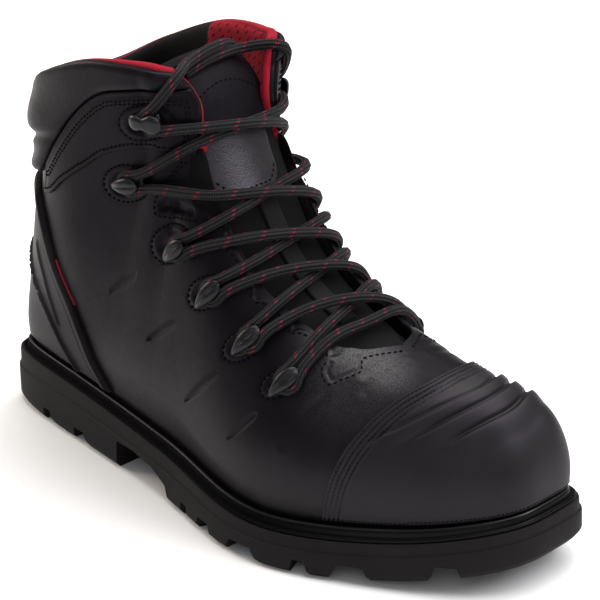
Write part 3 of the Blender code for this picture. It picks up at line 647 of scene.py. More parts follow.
def lengths(points: Array) -> Array:
    """Surface coordinates of a grid: lengths along its two directions.

    Args:
        points: Grid of points.

    Returns:
        Lengths along and across, in the grid's layout.
    """
    rows = np.linalg.norm(np.diff(points, axis=0), axis=-1)
    columns = np.linalg.norm(np.diff(points, axis=1), axis=-1)
    along = np.concatenate([np.zeros((1, points.shape[1])), np.cumsum(rows, 0)])
    across = np.concatenate([np.zeros((points.shape[0], 1)), np.cumsum(columns, 1)], 1)
    return np.stack([along, across], -1)


def tube(path: Array, radius: Callable[[Array, Array], Array], sides: int,
         hint: Array) -> tuple[Array, Array]:
    """Grid of points round a path, with coordinates along it and round it.

    Args:
        path: Points along the middle.
        radius: Radius for the lengths along the path and the turns round it, in radians.
        sides: Points round a section.
        hint: Direction, or one for each point, that the first turn leans towards.

    Returns:
        The points and their coordinates, with the first turn repeated at the end.
    """
    forward = unit(np.gradient(path, axis=0))
    lean = np.broadcast_to(hint, path.shape)
    out = unit(lean - forward * np.einsum("ij,ij->i", lean, forward)[:, None])
    aside = np.cross(forward, out)
    steps = np.linalg.norm(np.diff(path, axis=0), axis=1)
    along = np.concatenate([[0], np.cumsum(steps)])[:, None]
    turn = np.linspace(0, 2 * math.pi, sides + 1)[None, :]
    reach = radius(along, turn)[..., None]
    ring = out[:, None] * np.cos(turn)[..., None] + aside[:, None] * np.sin(turn)[..., None]
    coords = np.stack(np.broadcast_arrays(along, turn), -1)
    return path[:, None] + ring * reach, coords


def capped_tube(shape: Shape, path: Array, radius: Callable[[Array, Array], Array], sides: int,
                hint: Array) -> None:
    """Tube with rounded ends.

    Args:
        shape: Skin that gets the tube.
        path: Points along the middle.
        radius: Radius for lengths along it and turns round it.
        sides: Points round a section.
        hint: Way that the first turn leans.
    """
    points, coords = tube(path, radius, sides, hint)
    numbers = shape.grid(points, 0, coords)
    for ring, row in ((points[0], numbers[0]), (points[-1], numbers[-1])):
        middle = shape.add(ring[:-1].mean(0)[None])
        shape.faces += [(int(row[i]), int(row[i + 1]), int(middle[0])) for i in range(sides)]
        shape.slots += [0] * sides


# Finishes

class Value:
    """Output of a shader node that takes part in plain arithmetic."""

    def __init__(self, graph: Graph, socket: bpy.types.NodeSocket) -> None:
        """Wrap a socket of a graph."""
        self.graph = graph
        self.socket = socket

    def math(self, operation: str, *others: Value | float) -> Value:
        """Math node on this value and others."""
        return self.graph.node("ShaderNodeMath", {"operation": operation}, [self, *others])

    def __add__(self, other: Value | float) -> Value:
        """Sum."""
        return self.math("ADD", other)

    __radd__ = __add__

    def __mul__(self, other: Value | float) -> Value:
        """Product."""
        return self.math("MULTIPLY", other)

    __rmul__ = __mul__

    def __sub__(self, other: Value | float) -> Value:
        """Difference."""
        return self.math("SUBTRACT", other)

    def __rsub__(self, other: float) -> Value:
        """Difference from a number."""
        return self.graph.node("ShaderNodeMath", {"operation": "SUBTRACT"}, [other, self])

    def __truediv__(self, other: Value | float) -> Value:
        """Quotient."""
        return self.math("DIVIDE", other)

    def sine(self) -> Value:
        """Sine of an angle in radians."""
        return self.math("SINE")

    def part(self) -> Value:
        """Part after the decimal point."""
        return self.math("FRACT")

    def between(self, low: float, high: float) -> Value:
        """Smooth step from 0 at low to 1 at high.

        Args:
            low: Value that gives 0.
            high: Value that gives 1.

        Returns:
            The step.
        """
        settings = {"interpolation_type": "SMOOTHSTEP"}
        sockets = {"Value": self, "From Min": low, "From Max": high}
        return self.graph.node("ShaderNodeMapRange", settings, sockets, "Result")


class Graph:
    """Material that is being put together from nodes."""

    def __init__(self, name: str) -> None:
        """Start a material with its Principled shader.

        Args:
            name: Name of the material.
        """
        self.material = bpy.data.materials.new(name)
        self.material.use_nodes = True
        self.tree = self.material.node_tree
        self.shader = self.tree.nodes["Principled BSDF"]

    def feed(self, socket: bpy.types.NodeSocket, value: object) -> None:
        """Link a value to a socket, or set a number or colour on it.

        Args:
            socket: Input of a node.
            value: Value, number or colour.
        """
        if isinstance(value, Value):
            self.tree.links.new(value.socket, socket)
        elif isinstance(value, tuple) and socket.type == "RGBA" and len(value) == 3:
            socket.default_value = (*value, 1.0)
        else:
            socket.default_value = value

    def node(self, kind: str, settings: dict | None = None, sockets: dict | list | None = None,
             output: str | int = 0) -> Value:
        """Add a node.

        Args:
            kind: The node's type.
            settings: Its own properties, which are set first.
            sockets: Values or links of its inputs, by name or in order.
            output: The output to return.

        Returns:
            The output, wrapped.
        """
        node = self.tree.nodes.new(kind)
        for name, value in (settings or {}).items():
            setattr(node, name, value)
        items = sockets.items() if isinstance(sockets, dict) else enumerate(sockets or [])
        for name, value in items:
            self.feed(node.inputs[name], value)
        return Value(self, node.outputs[output])

    def set(self, **sockets: object) -> None:
        """Feed inputs of the shader, named with _ for a space."""
        for name, value in sockets.items():
            self.feed(self.shader.inputs[name.replace("_", " ")], value)

    def place(self) -> Value:
        """Object coordinates in metres."""
        return self.node("ShaderNodeTexCoord", output="Object")

    def reach(self, axis: int) -> Value:
        """Place along one axis in metres."""
        return self.node("ShaderNodeSeparateXYZ", None, [self.place()], axis)

    def surface(self) -> tuple[Value, Value]:
        """Surface coordinates in millimetres, along and across.

        Returns:
            The two coordinates.
        """
        both = self.node("ShaderNodeUVMap", {"uv_map": "surface"})
        split = self.node("ShaderNodeSeparateXYZ", None, [both])
        return split, Value(self, split.socket.node.outputs[1])

    def noise(self, size: float, detail: float = 2.0, roughness: float = 0.5) -> Value:
        """Noise whose features are about a size in millimetres."""
        sockets = {"Vector": self.place(), "Scale": 1 / (size * MM), "Detail": detail, "Roughness": roughness}
        return self.node("ShaderNodeTexNoise", None, sockets)

    def cells(self, size: float) -> Value:
        """Smooth distance from the nearest cell centre, for cells of a size in millimetres."""
        sockets = {"Vector": self.place(), "Scale": 1 / (size * MM)}
        return self.node("ShaderNodeTexVoronoi", {"feature": "SMOOTH_F1"}, sockets, "Distance")

    def blend(self, share: Value, low: object, high: object) -> Value:
        """Colour between two colours.

        Args:
            share: Share of the second colour.
            low: First colour.
            high: Second colour.

        Returns:
            The colour.
        """
        node = self.tree.nodes.new("ShaderNodeMix")
        node.data_type = "RGBA"
        colour_sockets = [socket for socket in node.inputs if socket.type == "RGBA"]
        self.feed(node.inputs[0], share)
        self.feed(colour_sockets[0], low)
        self.feed(colour_sockets[1], high)
        return Value(self, next(socket for socket in node.outputs if socket.type == "RGBA"))

    def bump(self, height: Value, depth: float, strength: float = 1.0) -> None:
        """Feed the shader's normal from a height of 0 to 1 over a depth in millimetres."""
        sockets = {"Height": height, "Distance": depth * MM, "Strength": strength}
        self.set(Normal=self.node("ShaderNodeBump", None, sockets))


Colour = tuple[float, float, float]
TINT: Colour = (0.96, 0.87, 1.0)            # of the sheen on everything black


def shade(colour: Colour, factor: float) -> Colour:
    """Colour made lighter or darker."""
    return tuple(channel * factor for channel in colour)


@dataclass(frozen=True)
class Leather:
    """Black leather with a pebbled grain, soft wrinkles and a low sheen."""

    name: str
    colour: Colour = (0.0040, 0.0034, 0.0046)
    roughness: float = 0.44
    grain: float = 0.75
    depth: float = 0.11
    wrinkle: float = 0.5
    specular: float = 0.065
    crinkle: tuple[float, float, float] | None = None
    crinkle_reach: float = 34.0
    low_sheen: tuple[float, float] = (.030, .080)          # heights in metres
    rear_sheen: tuple[float, float] = (-.112, -.076)       # places along the boot in metres

    def build(self) -> bpy.types.Material:
        """Make the material.

        Returns:
            The material.
        """
        graph = Graph(self.name)
        cloud, streak = graph.noise(16, 4), graph.noise(3.2, 3)
        pebble = graph.cells(self.grain)
        height = pebble * .5 + streak * self.wrinkle + cloud * self.wrinkle
        if self.crinkle is not None:
            centre = tuple((np.array(self.crinkle) - ORIGIN) * MM)
            away = graph.node("ShaderNodeVectorMath", {"operation": "DISTANCE"},
                              [graph.place(), centre], "Value")
            zone = 1 - away.between(.35 * self.crinkle_reach * MM, self.crinkle_reach * MM)
            height = height + graph.noise(2.2, 3) * zone * 3.0 + graph.noise(.7, 2) * zone * 1.2
            low = 1 - graph.reach(2).between(*self.low_sheen)
            rear = 1 - graph.reach(0).between(*self.rear_sheen)
            mottle = graph.noise(.7, 4, .7).between(.25, .8)
            graph.set(Coat_Weight=zone * (mottle * .95 + .10) + low * .26 + rear * (mottle * .3 + .12),
                      Coat_Roughness=.36, Coat_Tint=(1.0, .94, .90))
        dark, light = shade(self.colour, .8), shade(self.colour, 1.3)
        graph.set(Base_Color=graph.blend(cloud.between(.3, .7), dark, light),
                  Roughness=self.roughness + (streak - .5) * .2 + (pebble - .5) * .08,
                  Specular_IOR_Level=self.specular, Specular_Tint=TINT)
        graph.bump(height, self.depth, 0.9)
        return graph.material


@dataclass(frozen=True)
class Moulded:
    """Moulded rubber or polymer with a fine cast texture."""

    name: str
    colour: Colour
    roughness: float
    texture: float = 0.7
    depth: float = 0.03
    specular: float = 0.35
    toe_gloss: float = 0.0

    def build(self) -> bpy.types.Material:
        """Make the material.

        Returns:
            The material.
        """
        graph = Graph(self.name)
        cloud, cast = graph.noise(22, 3), graph.noise(self.texture, 2)
        if self.toe_gloss:
            graph.set(Coat_Weight=graph.reach(0).between(.045, .115) * self.toe_gloss, Coat_Roughness=.3)
        dark, light = shade(self.colour, .85), shade(self.colour, 1.2)
        graph.set(Base_Color=graph.blend(cloud.between(.3, .7), dark, light),
                  Roughness=self.roughness + (cloud - .5) * .12 + (cast - .5) * .1,
                  Specular_IOR_Level=self.specular, Specular_Tint=TINT)
        graph.bump(cast, self.depth, 0.8)
        return graph.material


class Weave(Enum):
    """Way that a textile is woven."""

    PLAIN = "plain"
    RIBBED = "ribbed"


@dataclass(frozen=True)
class Textile:
    """Woven cloth that follows its piece's surface coordinates."""

    name: str
    colour: Colour
    pitch: float = 0.8
    weave: Weave = Weave.PLAIN
    roughness: float = 0.88
    depth: float = 0.12

    def build(self) -> bpy.types.Material:
        """Make the material.

        Returns:
            The material.
        """
        graph = Graph(self.name)
        along, across = graph.surface()
        turn = 2 * math.pi / self.pitch
        if self.weave is Weave.PLAIN:
            yarn = (along * turn).sine() * (across * turn).sine() * .5 + .5
        else:
            yarn = (across * turn).sine() * .35 + (along * turn * .7).sine() * .15 + .5
        fuzz = graph.noise(.5, 2)
        dark, light = shade(self.colour, .5), shade(self.colour, 1.5)
        graph.set(Base_Color=graph.blend(yarn * .7 + fuzz * .3, dark, light),
                  Roughness=self.roughness - yarn * .08,
                  Specular_IOR_Level=0.12, Sheen_Weight=0.02, Sheen_Roughness=0.5)
        graph.bump(yarn + fuzz * .4, self.depth, 0.9)
        return graph.material


@dataclass(frozen=True)
class RedMesh:
    """Red knitted lining with rows of small holes, each painted dark as the shade inside it."""

    name: str
    colour: Colour = (0.25, 0.006, 0.017)
    # colour of the holes: painted shade, the dark red inside of each perforation
    shaded_hole: Colour = (0.016, 0.002, 0.004)
    pitch: float = 4.2
    radius: float = 0.62

    def build(self) -> bpy.types.Material:
        """Make the material.

        Returns:
            The material.
        """
        graph = Graph(self.name)
        along, across = graph.surface()
        row = across / self.pitch
        shift = row.math("FLOOR").math("MODULO", 2.0) * .5
        x = ((along / self.pitch + shift).part() - .5) * self.pitch
        y = (row.part() - .5) * self.pitch
        gap = (x * x * .5 + y * y).math("SQRT")
        # mask of the holes, which the base colour fills with painted shade
        shaded_hole = 1 - gap.between(self.radius * .7, self.radius * 1.3)
        knit = (along * 9.0).sine() * (across * 7.0).sine() * .5 + .5
        fuzz = graph.noise(.8, 3)
        cloth = graph.blend(knit * .6 + fuzz * .4, shade(self.colour, .55), shade(self.colour, 1.35))
        graph.set(Base_Color=graph.blend(shaded_hole, cloth, self.shaded_hole), Roughness=0.85 - knit * .08,
                  Specular_IOR_Level=0.08, Sheen_Weight=0.02, Sheen_Roughness=0.5)
        graph.bump(knit * .5 + fuzz * .5 - shaded_hole, 0.25, 0.9)
        return graph.material


@dataclass(frozen=True)
class LaceWeave:
    """Black round lace with cross ribs, lengthwise grooves and groups of red flecks; painted shade darkens
    the grooves and painted light brightens the strands' tops.
    """

    name: str
    colour: Colour = (0.0060, 0.0055, 0.0062)
    fleck: Colour = (0.21, 0.008, 0.034)
    rib: float = 0.95
    strands: int = 8
    group: float = 15.0
    fleck_length: float = 1.6
    fleck_shift: float = 1.5

    def build(self) -> bpy.types.Material:
        """Make the material.

        Returns:
            The material.
        """
        graph = Graph(self.name)
        along, turn = graph.surface()
        strand = (turn * float(self.strands)).sine() * .5 + .5
        ribs = (along * (2 * math.pi / self.rib) + strand * 2.4).sine() * .5 + .5
        cycle = ((along + turn * self.fleck_shift) / self.group).part() * self.group
        stop = 2.0 + self.fleck_length
        spell = cycle.between(2.0, 2.3) * (1 - cycle.between(stop, stop + .3))
        flecks = spell * strand.between(.50, .80) * (ribs * .6 + .4)
        fuzz = graph.noise(.6, 2)
        # painted shade and light: dark in the grooves between the strands, where the fluted tube is thinnest,
        # light on the strands' ribbed tops
        loops = strand.between(.05, .60) * (ribs * .6 + .4)
        # the lace's black runs from painted shade at 0.08 of its colour to painted light at 3.4 times it
        black = graph.blend(loops * .9 + fuzz * .1, shade(self.colour, .08), shade(self.colour, 3.4))
        graph.set(Base_Color=graph.blend(flecks, black, self.fleck), Roughness=0.8 - ribs * .1,
                  Specular_IOR_Level=0.15, Sheen_Weight=0.02, Sheen_Roughness=0.4)
        graph.bump(ribs * .5 + strand * .7 + fuzz * .2, 0.4, 1.0)
        return graph.material


@dataclass(frozen=True)
class Hardware:
    """Dark grey satin metal."""

    name: str
    colour: Colour = (0.013, 0.013, 0.015)

    def build(self) -> bpy.types.Material:
        """Make the material.

        Returns:
            The material.
        """
        graph = Graph(self.name)
        brushed, cloud = graph.noise(.5, 3), graph.noise(5, 2)
        graph.set(Base_Color=graph.blend(cloud, shade(self.colour, .75), shade(self.colour, 1.25)),
                  Roughness=0.34 + (brushed - .5) * .16, Metallic=0.7, Specular_IOR_Level=0.5)
        graph.bump(brushed, 0.015, 0.7)
        return graph.material


class Finishes:
    """All materials of the boot, made once."""

    def __init__(self) -> None:
        """Build every finish."""
        self.leather = Leather("smooth_black_leather", crinkle=(231.0, -25.0, 83.0)).build()
        self.soft = Leather("soft_black_leather", roughness=.40, grain=1.1, depth=.12, specular=.10).build()
        self.tongue = Leather("tongue_leather", roughness=.5, grain=.9, specular=.05).build()
        self.flap = Leather("satin_tongue_leather", (.0095, .0085, .0100), .36, .7, .12, .4, .48).build()
        # Moulded: colour, roughness, size and depth of its texture, specular level, gloss at the toe
        self.counter = Moulded("heel_counter_polymer", (.0062, .0054, .0058), .44, .5, .02, .11).build()
        self.cap = Moulded("toe_cap_polymer", (.0066, .0056, .0070), .50, .5, .02, .23).build()
        self.rubber = Moulded("charcoal_rubber", (.0072, .0062, .0062), .68, .8, .05, .14).build()
        self.bead = Moulded("welt_bead", (.0044, .0043, .0050), .38, 1.2, .05, .12, .5).build()
        # the ledge's near-black colour is the welt's own black deepened as painted shade in its recess
        self.ledge = Moulded("welt_ledge_painted_shade", (.0012, .0012, .0013), .8, .9, .08, .05, .20).build()
        # Textile: colour, pitch, weave, roughness, depth of the weave
        self.fabric = Textile("black_tongue_fabric", (.0026, .0026, .0029), .9).build()
        self.inner = Textile("dark_lining", (.0034, .0031, .0032), 1.1).build()
        self.webbing = Textile("grey_webbing", (.0085, .0082, .0090), 1.0, Weave.RIBBED, .85, .1).build()
        self.footbed = Textile("footbed_cloth", (.008, .0075, .0075), 1.3).build()
        self.lining = RedMesh("red_mesh_lining").build()
        self.red_edge = Textile("red_collar_edge", (.26, .007, .018), .9).build()
        self.thread = Moulded("black_thread", (.0014, .0013, .0015), .85, .4, .02, .1).build()
        self.red_thread = Textile("red_thread", (.17, .010, .020), .5, Weave.RIBBED, .8, .05).build()
        self.hardware = Hardware("dark_grey_hardware").build()
        self.lace = LaceWeave("woven_lace").build()


# Stitches

@dataclass(frozen=True)
class Stitch:
    """Size of the stitches in a row."""

    pitch: float = 2.6
    length: float = 1.9
    radius: float = 0.42


class StitchTree:
    """Geometry Nodes tree that sews stitches along the lines of a curve object."""

    def __init__(self, thread: bpy.types.Material) -> None:
        """Build the tree with its named inputs.

        Args:
            thread: Finish of the thread.
        """
        tree = bpy.data.node_groups.new("stitch_rows", "GeometryNodeTree")
        self.tree = tree
        tree.interface.new_socket("Geometry", in_out="INPUT", socket_type="NodeSocketGeometry")
        self.inputs = {}
        for name in ("Pitch", "Length", "Radius"):
            socket = tree.interface.new_socket(name, in_out="INPUT", socket_type="NodeSocketFloat")
            self.inputs[name] = socket.identifier
        tree.interface.new_socket("Geometry", in_out="OUTPUT", socket_type="NodeSocketGeometry")
        given = tree.nodes.new("NodeGroupInput")
        result = tree.nodes.new("NodeGroupOutput")
        points = tree.nodes.new("GeometryNodeCurveToPoints")
        points.mode = "LENGTH"
        ball = tree.nodes.new("GeometryNodeMeshUVSphere")
        ball.inputs["Segments"].default_value = 8
        ball.inputs["Rings"].default_value = 6
        ball.inputs["Radius"].default_value = 1.0
        turn = tree.nodes.new("FunctionNodeAlignRotationToVector")
        turn.axis = "X"
        size = tree.nodes.new("ShaderNodeCombineXYZ")
        copies = tree.nodes.new("GeometryNodeInstanceOnPoints")
        real = tree.nodes.new("GeometryNodeRealizeInstances")
        paint = tree.nodes.new("GeometryNodeSetMaterial")
        paint.inputs["Material"].default_value = thread
        links = (
            (given.outputs["Geometry"], points.inputs["Curve"]),
            (given.outputs["Pitch"], points.inputs["Length"]),
            (points.outputs["Points"], copies.inputs["Points"]),
            (points.outputs["Tangent"], turn.inputs["Vector"]),
            (turn.outputs["Rotation"], copies.inputs["Rotation"]),
            (ball.outputs["Mesh"], copies.inputs["Instance"]),
            (given.outputs["Length"], size.inputs["X"]),
            (given.outputs["Radius"], size.inputs["Y"]),
            (given.outputs["Radius"], size.inputs["Z"]),
            (size.outputs["Vector"], copies.inputs["Scale"]),
            (copies.outputs["Instances"], real.inputs["Geometry"]),
            (real.outputs["Geometry"], paint.inputs["Geometry"]),
            (paint.outputs["Geometry"], result.inputs["Geometry"]),
        )
        for start, end in links:
            tree.links.new(start, end)

    def sew(self, name: str, lines: Sequence[Array], stitch: Stitch,
            thread: bpy.types.Material) -> bpy.types.Object:
        """Stitches along lines of points, as one plain mesh.

        Args:
            name: Name of the piece.
            lines: Lines of points in millimetres.
            stitch: Size of the stitches.
            thread: Finish of the thread.

        Returns:
            The piece.
        """
        data = bpy.data.curves.new(name, "CURVE")
        data.dimensions = "3D"
        for line in lines:
            spline = data.splines.new("POLY")
            spline.points.add(len(line) - 1)
            places = np.column_stack([(line - ORIGIN) * MM, np.ones(len(line))])
            spline.points.foreach_set("co", places.astype(np.float32).ravel())
        guide = bpy.data.objects.new(f"{name}_guide", data)
        modifier = guide.modifiers.new("stitches", "NODES")
        modifier.node_group = self.tree
        modifier[self.inputs["Pitch"]] = stitch.pitch * MM
        modifier[self.inputs["Length"]] = stitch.length * MM / 2
        modifier[self.inputs["Radius"]] = stitch.radius * MM
        bpy.context.scene.collection.objects.link(guide)
        bpy.context.view_layer.update()
        sewn = guide.evaluated_get(bpy.context.evaluated_depsgraph_get())
        mesh = bpy.data.meshes.new_from_object(sewn)
        mesh.name = name
        bpy.data.objects.remove(guide)
        bpy.data.curves.remove(data)
        return finish_piece(name, mesh, [thread])


class Workshop:
    """What the sub-assemblies share: the last, the finishes and the stitches."""

    def __init__(self) -> None:
        """Set up the shared tools."""
        self.last = Last()
        self.finish = Finishes()
        self.stitches = StitchTree(self.finish.thread)

    def keep(self, piece: bpy.types.Object, slot: str, *nodes: str) -> bpy.types.Object:
        """Fix a piece to the boot, hide the solids that it stands for, and report it.

        Args:
            piece: Object of the piece.
            slot: Name of its slot; not used.
            nodes: Solids that it stands for.

        Returns:
            The same object.
        """
        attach(piece, BODY)
        if nodes:
            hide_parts(*nodes)
        log.info("%s: %d faces", piece.name, len(piece.data.polygons))
        return piece

    def sew(self, name: str, lines: Sequence[Array], stitch: Stitch = Stitch()) -> bpy.types.Object:
        """Rows of black stitches as a piece."""
        return self.keep(self.stitches.sew(name, lines, stitch, self.finish.thread), "thread")


# Sub-assemblies

@dataclass
class Sole:
    """Outsole with its lugs, the stitched welt with its bead, and the footbed."""

    shop: Workshop
    # Share of the sole's height and inset of its edge there
    side: Rows = ((0, 2.6), (.03, 1.9), (.14, .2), (.18, 0), (.64, .2), (.665, .35), (.69, 1.1), (.72, 1.2),
                  (.95, 1.45), (.985, 1.7), (1, 2.2))
    # Corners of the gap under the arch: x, z
    arch: Rows = ((97, -1), (98.5, 14.5), (112, 15), (128, 13), (139, 8.5), (142.5, -1))
    # Grooves at the edge: x, width, length, turn
    lugs: Rows = (
        (36, 5.5, 24, 6), (64, 8, 24, -4), (157, 4.5, 26, 7), (175, 8, 34, 9), (201, 12, 38, 6),
        (229, 5.5, 30, 0), (249, 11, 32, -7), (284, 9, 26, -21))
    # Chevrons: x, width, length
    chevrons: Rows = ((48, 7, 23), (166, 6, 24), (192, 6, 26), (220, 6, 26), (245, 6, 24))
    groove_depth: float = 7.0
    flare: float = 2.4
    heel_kick: float = 2.0
    chevron_depth: float = 4.0
    chevron_lean: float = 32.0
    overrun: float = 4.0
    # Share of the margin and height over the sole, from the ledge over the bead
    welt: Rows = (
        (.27, .3), (.27, 1.2), (.285, 1.5), (.31, 1.45), (.34, 1.0), (.42, .85), (.48, 1.0), (.515, 1.5),
        (.53, 2.6), (.55, 3.7), (.59, 4.6), (.64, 5.1), (.69, 5.25), (.75, 5.15), (.81, 4.8), (.85, 4.3),
        (.85, .3))
    ledge_rows: int = 11
    stitch_share: float = 0.40
    footbed_inset: float = 3.2

    def build(self) -> None:
        """Make all pieces."""
        self.make_outsole()
        self.make_welt()
        self.make_footbed()

    def slab(self, stations: Array, rings: Sequence[tuple[Array, Callable[[Array], Array]]]) -> Shape:
        """Solid through stacked outlines of the sole.

        Args:
            stations: Stations of the outlines' points.
            rings: For each outline its inset and its height for an x, from the bottom up.

        Returns:
            The closed skin.
        """
        last, shape, ends = self.shop.last, Shape(), {}
        for side in Side:
            lines = []
            for inset, height in rings:
                plan = last.inset_edge(stations, side, inset)
                lines.append(np.concatenate([plan, height(plan[:, :1])], -1))
            points = np.stack(lines, 1)
            shape.grid(points)
            ends[side] = points
        for row in (0, -1):
            shape.grid(np.stack([ends[side][:, row] for side in Side], 1))
        return shape

    def make_outsole(self) -> None:
        """Outsole with a stepped side, cut by the arch and the grooves of its tread."""
        last = self.shop.last
        stations = np.linspace(0, 1, 121)

        def layer(level: float) -> Callable[[Array], Array]:
            """Height for an x at a share of the sole's thickness."""
            return lambda x: last.sole_bottom(x) + (last.sole_top(x) - last.sole_bottom(x)) * level

        kick = self.heel_kick * (1 - ease(stations, 0, .16))
        rings = [(inset - kick, layer(level)) for level, inset in self.side]
        blank = self.slab(stations, rings).build("outsole_blank", [])
        cutters = bpy.data.collections.new("tread_cutters")
        bpy.context.scene.collection.children.link(cutters)
        for cutter in self.tread_cutters():
            for holder in list(cutter.users_collection):
                holder.objects.unlink(cutter)
            cutters.objects.link(cutter)
        modifier = blank.modifiers.new("tread", "BOOLEAN")
        modifier.operand_type = "COLLECTION"
        modifier.collection = cutters
        bpy.context.view_layer.update()
        evaluated = blank.evaluated_get(bpy.context.evaluated_depsgraph_get())
        mesh = bpy.data.meshes.new_from_object(evaluated)
        for item in [blank, *cutters.objects]:
            bpy.data.objects.remove(item)
        bpy.data.collections.remove(cutters)
        mesh.name = "outsole_rubber"
        piece = finish_piece("outsole_rubber", mesh, [self.shop.finish.rubber], sharp=32)
        self.shop.keep(piece, "outsole_rubber", "outsole")

    def tread_cutters(self) -> list[bpy.types.Object]:
        """Blocks that cut the arch, the grooves at the edge and the chevrons.

        Returns:
            The blocks.
        """
        last, below, far = self.shop.last, 3.0, 90.0
        shape = Shape()
        outline = np.array(self.arch + self.arch[:1], float)
        rows = [np.column_stack([outline[:, 0], np.full(len(outline), y), outline[:, 1]])
                for y in (-far, far)]
        numbers = shape.grid(np.stack(rows))
        for row in numbers:
            shape.faces.append(tuple(int(i) for i in row[:-1]))
            shape.slots.append(0)
        cutters = [shape.build("arch_gap", [])]
        for x, width, length, turn in self.lugs:
            station = np.arccos(1 - 2 * x / last.length) / math.pi
            depth = self.groove_depth + float(last.sole_bottom(x))
            for side in Side:
                way = last.inward(station, side)
                centre = last.sole_edge(station, side) + way * (length / 2 - self.overrun)
                heading = math.degrees(math.atan2(way[1], way[0])) + turn * side.value
                size = (length + 2 * self.overrun, width, depth + 2 * below)
                cutters.append(self.block((*centre, depth / 2 - below), size, heading, self.flare))
        for x, width, length in self.chevrons:
            depth = self.chevron_depth + float(last.sole_bottom(x))
            for side in Side:
                y = float(last.ridge_y(x)) + side.value * (length / 2 - self.overrun)
                size = (length, width, depth + 2 * below)
                heading = 90 + side.value * self.chevron_lean
                cutters.append(self.block((x, y, depth / 2 - below), size, heading, 1.0))
        return cutters

    @staticmethod
    def block(centre: Sequence[float], size: Sequence[float], turn: float, flare: float) -> bpy.types.Object:
        """Box turned about the vertical, and wider at its foot by a factor.

        Args:
            centre: Middle of the box.
            size: Its length, width and height.
            turn: Turn in degrees.
            flare: Factor of its width at the foot.

        Returns:
            The block.
        """
        bm = bmesh.new()
        bmesh.ops.create_cube(bm, size=1.0)
        for vertex in bm.verts:
            vertex.co.y *= flare if vertex.co.z < 0 else 1.0
        spin = Matrix.Rotation(math.radians(turn), 4, "Z")
        move = Matrix.Translation(Vector((np.array(centre) - ORIGIN) * MM))
        scale = Matrix.Diagonal((*(np.array(size) * MM), 1))
        bmesh.ops.transform(bm, matrix=move @ spin @ scale, verts=bm.verts)
        mesh = bpy.data.meshes.new("groove")
        bm.to_mesh(mesh)
        bm.free()
        return finish_piece("groove", mesh, [])

    def make_welt(self) -> None:
        """Ledge and bead round the foot of the upper, with the stitches in the ledge."""
        last, shape = self.shop.last, Shape()
        stations = np.linspace(0, 1, 240)
        lines, sewn = [], []
        for side in Side:
            order = stations if side is Side.LATERAL else stations[::-1][1:]
            rows = []
            for share, height in self.welt:
                plan = last.inset_edge(order, side, last.margin(order) * share)
                rows.append(np.concatenate([plan, last.sole_top(plan[:, :1]) + height], -1))
            lines.append(np.stack(rows, 1))
            plan = last.inset_edge(order, side, last.margin(order) * self.stitch_share)
            sewn.append(np.concatenate([plan, last.sole_top(plan[:, :1]) + .8], -1))
        points = np.concatenate(lines)
        numbers = shape.add(points, lengths(points))
        # slot 1, the ledge and the bead's side up to its top roll, carries the ledge's painted shade
        shape.skin(numbers[:, :self.ledge_rows], 1)
        shape.skin(numbers[:, self.ledge_rows - 1:], 0)
        shape.skin(np.stack([numbers[:, -1], numbers[:, 0]], 1), 1)
        piece = shape.build("welt_and_bead", [self.shop.finish.bead, self.shop.finish.ledge])
        self.shop.keep(piece, "welt_rubber", "welt")
        self.shop.sew("welt_stitches", [np.concatenate(sewn)], Stitch(3.6, 2.6, 0.42))

    def make_footbed(self) -> None:
        """Footbed with a rolled edge."""
        last = self.shop.last
        stations = np.linspace(0, 1, 90)
        inset = last.margin(stations) + self.footbed_inset
        rings = [(inset + add, lambda x, lift=lift: last.sole_top(x) + lift)
                 for add, lift in ((0, .3), (0, 3.3), (.4, 3.9), (1.0, 4.3), (2.0, 4.5))]
        piece = self.slab(stations, rings).build("footbed_cloth", [self.shop.finish.footbed], sharp=50)
        self.shop.keep(piece, "footbed", "insole")


